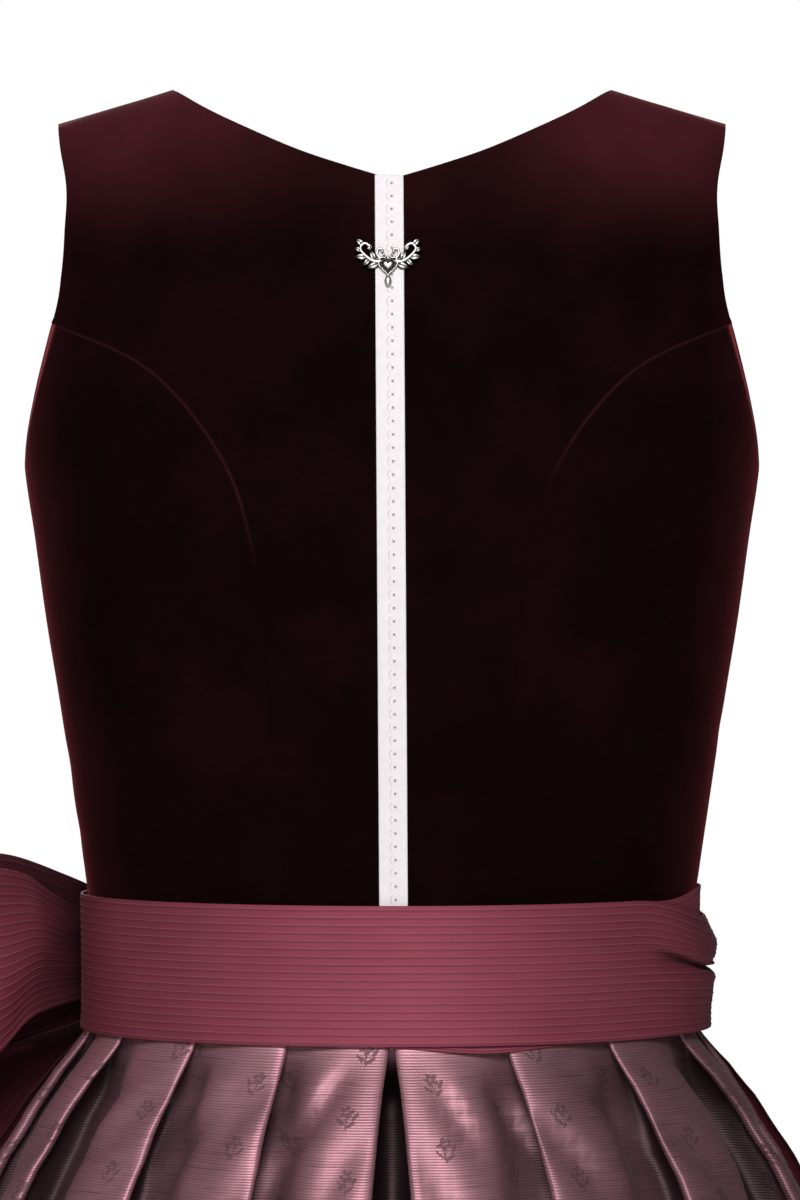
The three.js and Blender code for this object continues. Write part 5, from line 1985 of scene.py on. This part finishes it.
class Trail(NodeSheet):
    """A Geometry Nodes tree that sets a small shape along a path, at an even pitch."""

    def __init__(self, name: str, sizes: dict[str, float]) -> None:
        """Starts the tree with a path and named sizes.

        Args:
            name: the tree's name.
            sizes: each size's name and millimetres; one is named Pitch.
        """
        super().__init__(bpy.data.node_groups.new(name, "GeometryNodeTree"))
        face = self.tree.interface
        face.new_socket("Path", in_out="INPUT", socket_type="NodeSocketGeometry")
        for word in sizes:
            face.new_socket(word, in_out="INPUT", socket_type="NodeSocketFloat")
        face.new_socket("Shape", in_out="OUTPUT", socket_type="NodeSocketGeometry")
        self.sizes = {word: value * MM for word, value in sizes.items()}
        self.start = self.tree.nodes.new("NodeGroupInput")

    def size(self, name: str) -> Socket:
        """The socket of a named size."""
        return self.start.outputs[name]

    def painted(self, shape: Socket, material: Material) -> Socket:
        """The shape with its material set."""
        inputs = {"Geometry": shape, "Material": material}
        return self.node("GeometryNodeSetMaterial", {}, inputs).outputs[0]

    def thread(self, centre: Socket, radius: str, sides: int) -> Socket:
        """A round thread along a curve.

        Args:
            centre: the curve.
            radius: the name of the size that is its radius.
            sides: how many sides its section has.

        Returns:
            The thread's mesh.
        """
        circle = {"Resolution": sides, "Radius": self.size(radius)}
        ring = self.node("GeometryNodeCurvePrimitiveCircle", {}, circle)
        inputs = {"Curve": centre, "Profile Curve": ring.outputs[0], "Fill Caps": True}
        made = self.node("GeometryNodeCurveToMesh", {}, inputs).outputs[0]
        turn = {"Geometry": made, "Rotation": (math.pi / 2, 0.0, 0.0)}
        return self.node("GeometryNodeTransform", {}, turn).outputs[0]

    def finish(
        self,
        shapes: Sequence[Socket],
        last: Material | None = None,
    ) -> None:
        """Sets the joined shapes along the path and closes the tree.

        Args:
            shapes: what each place gets.
            last: one material for all, or None where each shape has its own.
        """
        joined = self.node("GeometryNodeJoinGeometry", {}, {})
        for shape in shapes:
            self.tree.links.new(shape, joined.inputs[0])
        curve = self.node("GeometryNodeMeshToCurve", {}, {0: self.start.outputs["Path"]}).outputs[0]
        spread = {"Curve": curve, "Length": self.size("Pitch")}
        places = self.node("GeometryNodeCurveToPoints", {"mode": "LENGTH"}, spread)
        settings = {"axis": "Z", "pivot_axis": "X"}
        tangent = {"Vector": places.outputs["Tangent"]}
        turned = self.node("FunctionNodeAlignRotationToVector", settings, tangent).outputs[0]
        copies = {"Points": places.outputs["Points"], "Instance": joined.outputs[0], "Rotation": turned}
        instances = self.node("GeometryNodeInstanceOnPoints", {}, copies).outputs[0]
        result = self.node("GeometryNodeRealizeInstances", {}, {"Geometry": instances}).outputs[0]
        if last is not None:
            result = self.painted(result, last)
        self.node("NodeGroupOutput", {}, {0: result})

    def grow(self, name: str, points: Array) -> Thing:
        """Makes the repeated shapes along a path as a plain mesh.

        Args:
            name: the new object's name.
            points: the path, in millimetres.

        Returns:
            The object.
        """
        data = bpy.data.meshes.new(f"{name}_path")
        links = [(step, step + 1) for step in range(len(points) - 1)]
        data.from_pydata([tuple(point) for point in points * MM], links, [])
        thing = bpy.data.objects.new(name, data)
        bpy.context.scene.collection.objects.link(thing)
        modifier = thing.modifiers.new("trail", "NODES")
        modifier.node_group = self.tree
        for socket in self.tree.interface.items_tree:
            if socket.name in self.sizes:
                modifier[socket.identifier] = self.sizes[socket.name]
        seen = thing.evaluated_get(bpy.context.evaluated_depsgraph_get())
        made = bpy.data.meshes.new_from_object(seen)
        thing.modifiers.clear()
        thing.data = made
        return thing


@dataclass
class Charm:
    """A silver charm sewn to the tape: a heart, two curling leaf sprays and a drop."""

    across: float = -1.7
    height: float = -95.5
    lift: float = 1.7
    heart: Table = Table(
        "x y", (0, 1.2), (1.2, 2.9), (3.0, 3.55), (4.6, 2.9), (5.25, 0.9), (4.6, -1.3), (3.0, -3.1),
        (1.35, -4.6), (0, -6.3))
    dome: Table = Table(
        "share height", (0, 1.75), (0.2, 1.68), (0.4, 1.4), (0.52, 0.95), (0.58, 0.6), (0.68, 0.6),
        (0.74, 1.15), (0.82, 1.85), (0.9, 1.9), (0.97, 1.45), (1.0, 0.8))
    stem: Table = Table(
        "x y thick", (2.2, 1.4, 1.0), (6.5, 1.2, 0.95), (10.5, 3.6, 0.85), (13.2, 7.2, 0.75),
        (11.2, 9.8, 0.72), (8.7, 8.2, 0.9), (9.6, 6.7, 1.25))
    twig: Table = Table(
        "x y thick", (3.4, 2.1, 0.6), (5.2, 4.4, 0.6), (4.7, 6.9, 0.55), (2.7, 6.9, 0.55), (2.9, 5.4, 0.85))
    leaves: Table = Table(
        "x y length width turn", (7.0, -0.8, 6.6, 3.6, -22), (12.7, 3.4, 6.4, 3.5, 2),
        (7.3, 3.9, 5.6, 3.0, 62), (13.4, 10.4, 5.0, 3.2, 40), (10.2, 0.7, 4.8, 2.7, -44),
        (14.2, 6.9, 4.0, 2.6, 12))
    leaf_section: Table = Table(
        "across rise", (-1, 0.75), (-0.75, 1.2), (-0.4, 1.5), (-0.12, 1.25), (0, 0.95), (0.12, 1.25),
        (0.4, 1.5), (0.75, 1.2), (1, 0.75), (0.6, 0.35), (0, 0.3), (-0.6, 0.35))
    grains: Table = Table(
        "x y z wide high deep", (0, -8.3, 1.2, 1.7, 2.6, 1.3), (0, 2.9, 1.3, 0.95, 0.95, 0.9))
    bead: Numbers = (1.9, 4.3, 1.1, 0.7, 0.7, 0.7)
    proud: Pair = (1.0, 2.0)

    def __post_init__(self) -> None:
        """Works out where the charm lies on the back and which way it faces."""
        angle, level = Torso.seat(np.zeros(1), None, np.array([self.height]), False)
        self.out = Torso.normal(angle, level)[0]
        self.seat = Torso.point(angle, level)[0] + self.out * self.lift + np.array([self.across, 0, 0])
        self.up = np.cross(self.out, np.array([1.0, 0, 0]))

    def solid(self, rings: Array) -> Grids:
        """Places and faces of a closed shape from rings of points, with its ends closed."""
        places, faces = rings.reshape(-1, 3), tube_faces(*rings.shape[:2])
        return places, faces if signed_volume(places, faces) > 0 else faces[:, ::-1]

    def heart_rings(self, scale: float, base: float) -> Array:
        """Rings of a domed heart with a raised rim.

        Args:
            scale: its size beside the table's.
            base: how high its back lies.

        Returns:
            The rings, from its back to its middle.
        """
        x, y = self.heart.spread(["x", "y"], 40)
        outline = np.concatenate([np.stack([x, y], -1), np.stack([-x[-2:0:-1], y[-2:0:-1]], -1)]) * scale
        middle = np.array([0.0, -0.7]) * scale
        shares, heights = self.dome.spread(["share", "height"], 40)
        rings = [np.column_stack([lerp(middle, outline, 0.96), np.full(len(outline), base)])]
        for share, height in zip(shares[::-1], heights[::-1]):
            ring = lerp(middle, outline, max(share, 0.01))
            rings.append(np.column_stack([ring, np.full(len(outline), height)]))
        return np.array(rings)

    def stem_rings(self, table: Table, side: int) -> Array:
        """Rings of a tapering stem that ends in a bud.

        Args:
            table: its middle line and thickness.
            side: 1 or -1, for the side of the heart.

        Returns:
            The rings.
        """
        x, y, thick = table.spread(["x", "y", "thick"], 44)
        run = np.stack([np.gradient(x), np.gradient(y)], -1)
        run = unit(run)
        turn = np.linspace(0, math.tau, 12, endpoint=False)
        rings = []
        for place in range(len(x)):
            close = math.sin(math.pi * min(place + 0.35, len(x) - 0.65 - place, 3) / 6)
            off = thick[place] * close
            rings.append(np.column_stack([
                side * (x[place] - run[place, 1] * off * np.cos(turn)),
                y[place] + run[place, 0] * off * np.cos(turn),
                1.15 + off * 1.15 * np.sin(turn),
            ]))
        return np.array(rings)

    def leaf_rings(self, row: Array, side: int) -> Array:
        """Rings across a leaf with a sunk vein, from its stalk to its tip.

        Args:
            row: its row of the leaf table.
            side: 1 or -1, for the side of the heart.

        Returns:
            The rings.
        """
        x, y, length, width, turn = row
        section, rise = self.leaf_section.rows.T
        rings = []
        for share in np.linspace(0.03, 0.985, 22):
            half = width / 2 * math.sin(math.pi * share ** 0.8) ** 0.8 + 0.04
            across = section * half
            lift = rise * (0.7 + 0.5 * math.sin(math.pi * share))
            along = (share - 0.5) * length
            slant = math.radians(turn)
            rings.append(np.column_stack([
                side * (x + along * math.cos(slant) - across * math.sin(slant)),
                y + along * math.sin(slant) + across * math.cos(slant),
                lift,
            ]))
        return np.array(rings)

    def ball_rings(self, centre: Sequence[float], size: Sequence[float]) -> Array:
        """Rings of an oval ball with half sizes across, up and out."""
        lean = np.linspace(-math.pi / 2 + 0.08, math.pi / 2 - 0.08, 13)[:, None]
        turn = np.linspace(0, math.tau, 18, endpoint=False)[None, :]
        parts = (np.cos(lean) * np.cos(turn), np.sin(lean) + 0 * turn, np.cos(lean) * np.sin(turn))
        return np.stack([place + reach * part for place, reach, part in zip(centre, size, parts)], -1)

    def build(self, silver: Material) -> list[Thing]:
        """Makes and dresses the charm.

        Args:
            silver: the material.

        Returns:
            The one piece.
        """
        shapes = [self.heart_rings(1.0, 0.1)]
        shapes += [self.ball_rings(row[:3], row[3:]) for row in self.grains.rows]
        for side in (1, -1):
            shapes += [self.stem_rings(self.stem, side), self.stem_rings(self.twig, side)]
            shapes += [self.leaf_rings(row, side) for row in self.leaves.rows]
            shapes.append(self.ball_rings((side * self.bead[0], *self.bead[1:3]), self.bead[3:]))
        places, faces, start = [], [], 0
        for rings in shapes:
            points, sides = self.solid(rings)
            places.append(points)
            faces.append(sides + start)
            start += len(points)
        local = np.concatenate(places)
        axes = np.stack([[1.0, 0, 0], self.up, self.out])
        piece = mesh_object("silver_charm", self.seat + local @ axes, np.concatenate(faces))
        write_mark(piece, "proud", smooth(local[:, 2], *self.proud))
        return [dress_up(piece, silver, "charm")]


@dataclass(frozen=True)
class Lamp:
    """A square soft light that faces the dress."""

    name: str
    place: Colour
    size: float
    power: float
    aim: Colour = (0.0, 0.0, -0.4)

    def hang(self) -> None:
        """Adds the light."""
        data = bpy.data.lights.new(self.name, "AREA")
        data.size = self.size
        data.energy = self.power
        thing = bpy.data.objects.new(self.name, data)
        thing.location = self.place
        facing = Vector(self.aim) - Vector(self.place)
        thing.rotation_euler = facing.to_track_quat("-Z", "Y").to_euler()
        bpy.context.scene.collection.objects.link(thing)


@dataclass
class Studio:
    """Camera, light and the pale room."""

    width: int = 800
    height: int = 1200
    distance: float = 2.2
    side: float = 0.004
    level: float = -0.255
    frame_height: float = 0.6
    sensor: float = 36.0
    floor: float = -1.44
    floor_half: float = 6.0
    paleness: float = 0.82
    ambient: float = 0.07
    lamps: tuple[Lamp, ...] = (
        Lamp("key_light", (-0.08, -2.4, 0.85), 0.7, 59.0),
        Lamp("fill_light", (-0.1, -3.0, -0.25), 0.8, 14.0),
        Lamp("back_light", (-0.4, 2.4, 1.2), 1.6, 42.0),
    )

    def camera(self) -> None:
        """Puts the camera level behind the dress, at the photograph's distance and framing."""
        data = bpy.data.cameras.new("camera")
        data.sensor_fit = "VERTICAL"
        data.sensor_height = self.sensor
        data.sensor_width = self.sensor * self.width / self.height
        data.lens = self.sensor * self.distance / self.frame_height
        thing = bpy.data.objects.new("camera", data)
        thing.location = (self.side, -self.distance, self.level)
        thing.rotation_euler = (math.pi / 2, 0, 0)
        bpy.context.scene.collection.objects.link(thing)
        bpy.context.scene.camera = thing

    def room(self) -> None:
        """Adds the pale floor and the lit surroundings."""
        corners = np.array([[-1, -1], [1, -1], [1, 1], [-1, 1]]) * self.floor_half
        places = np.column_stack([corners, np.full(len(corners), self.floor)]) / MM
        floor = mesh_object("studio_floor", places, np.array([[0, 1, 2, 3]]))
        sheet = ShaderSheet("studio_floor")
        seen = Signal(sheet, sheet.node("ShaderNodeLightPath", {}, {}).outputs["Is Camera Ray"])
        floor.data.materials.append(sheet.finish({
            "Base Color": (0.8, 0.8, 0.8),
            "Roughness": 0.9,
            "Emission Color": sheet.mix(seen * self.paleness, (0.0, 0.0, 0.0), (1.0, 1.0, 1.0)),
            "Emission Strength": 1.0,
        }))
        world = bpy.data.worlds.new("studio")
        bpy.context.scene.world = world
        world.use_nodes = True
        nodes, links = world.node_tree.nodes, world.node_tree.links
        soft = nodes["Background"]
        soft.inputs[1].default_value = self.ambient
        pale = nodes.new("ShaderNodeBackground")
        chosen = nodes.new("ShaderNodeMixShader")
        for background in (soft, pale):
            background.inputs[0].default_value = (1.0, 1.0, 1.0, 1.0)
        links.new(nodes.new("ShaderNodeLightPath").outputs["Is Camera Ray"], chosen.inputs[0])
        links.new(soft.outputs[0], chosen.inputs[1])
        links.new(pale.outputs[0], chosen.inputs[2])
        links.new(chosen.outputs[0], nodes["World Output"].inputs[0])

    def build(self) -> None:
        """Makes the studio."""
        self.camera()
        self.room()
        for lamp in self.lamps:
            lamp.hang()
        bpy.context.scene.view_settings.view_transform = "Standard"


def main() -> None:
    """Builds the dress, piece by piece, in its studio."""
    logging.basicConfig(level=logging.INFO, format="%(name)s: %(message)s")
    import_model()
    Studio().build()
    satin = Satin("sash_satin", (0.215, 0.038, 0.062), (0.27, 0.055, 0.086)).material()
    plain = Satin("apron_satin", (0.16, 0.022, 0.036), (0.21, 0.034, 0.054), ribs=False).material()
    apron, sash = Apron(), Sash()
    report(Bodice().build(Velvet().material()))
    report(Skirt().build(Jacquard().material()))
    report(apron.build(plain))
    report(sash.build(satin))
    report(Bow(apron, sash).build(satin))
    report(LaceTape().build(Tape().material()))
    report(Charm().build(Silver().material()))


if __name__ == "__main__":
    main()
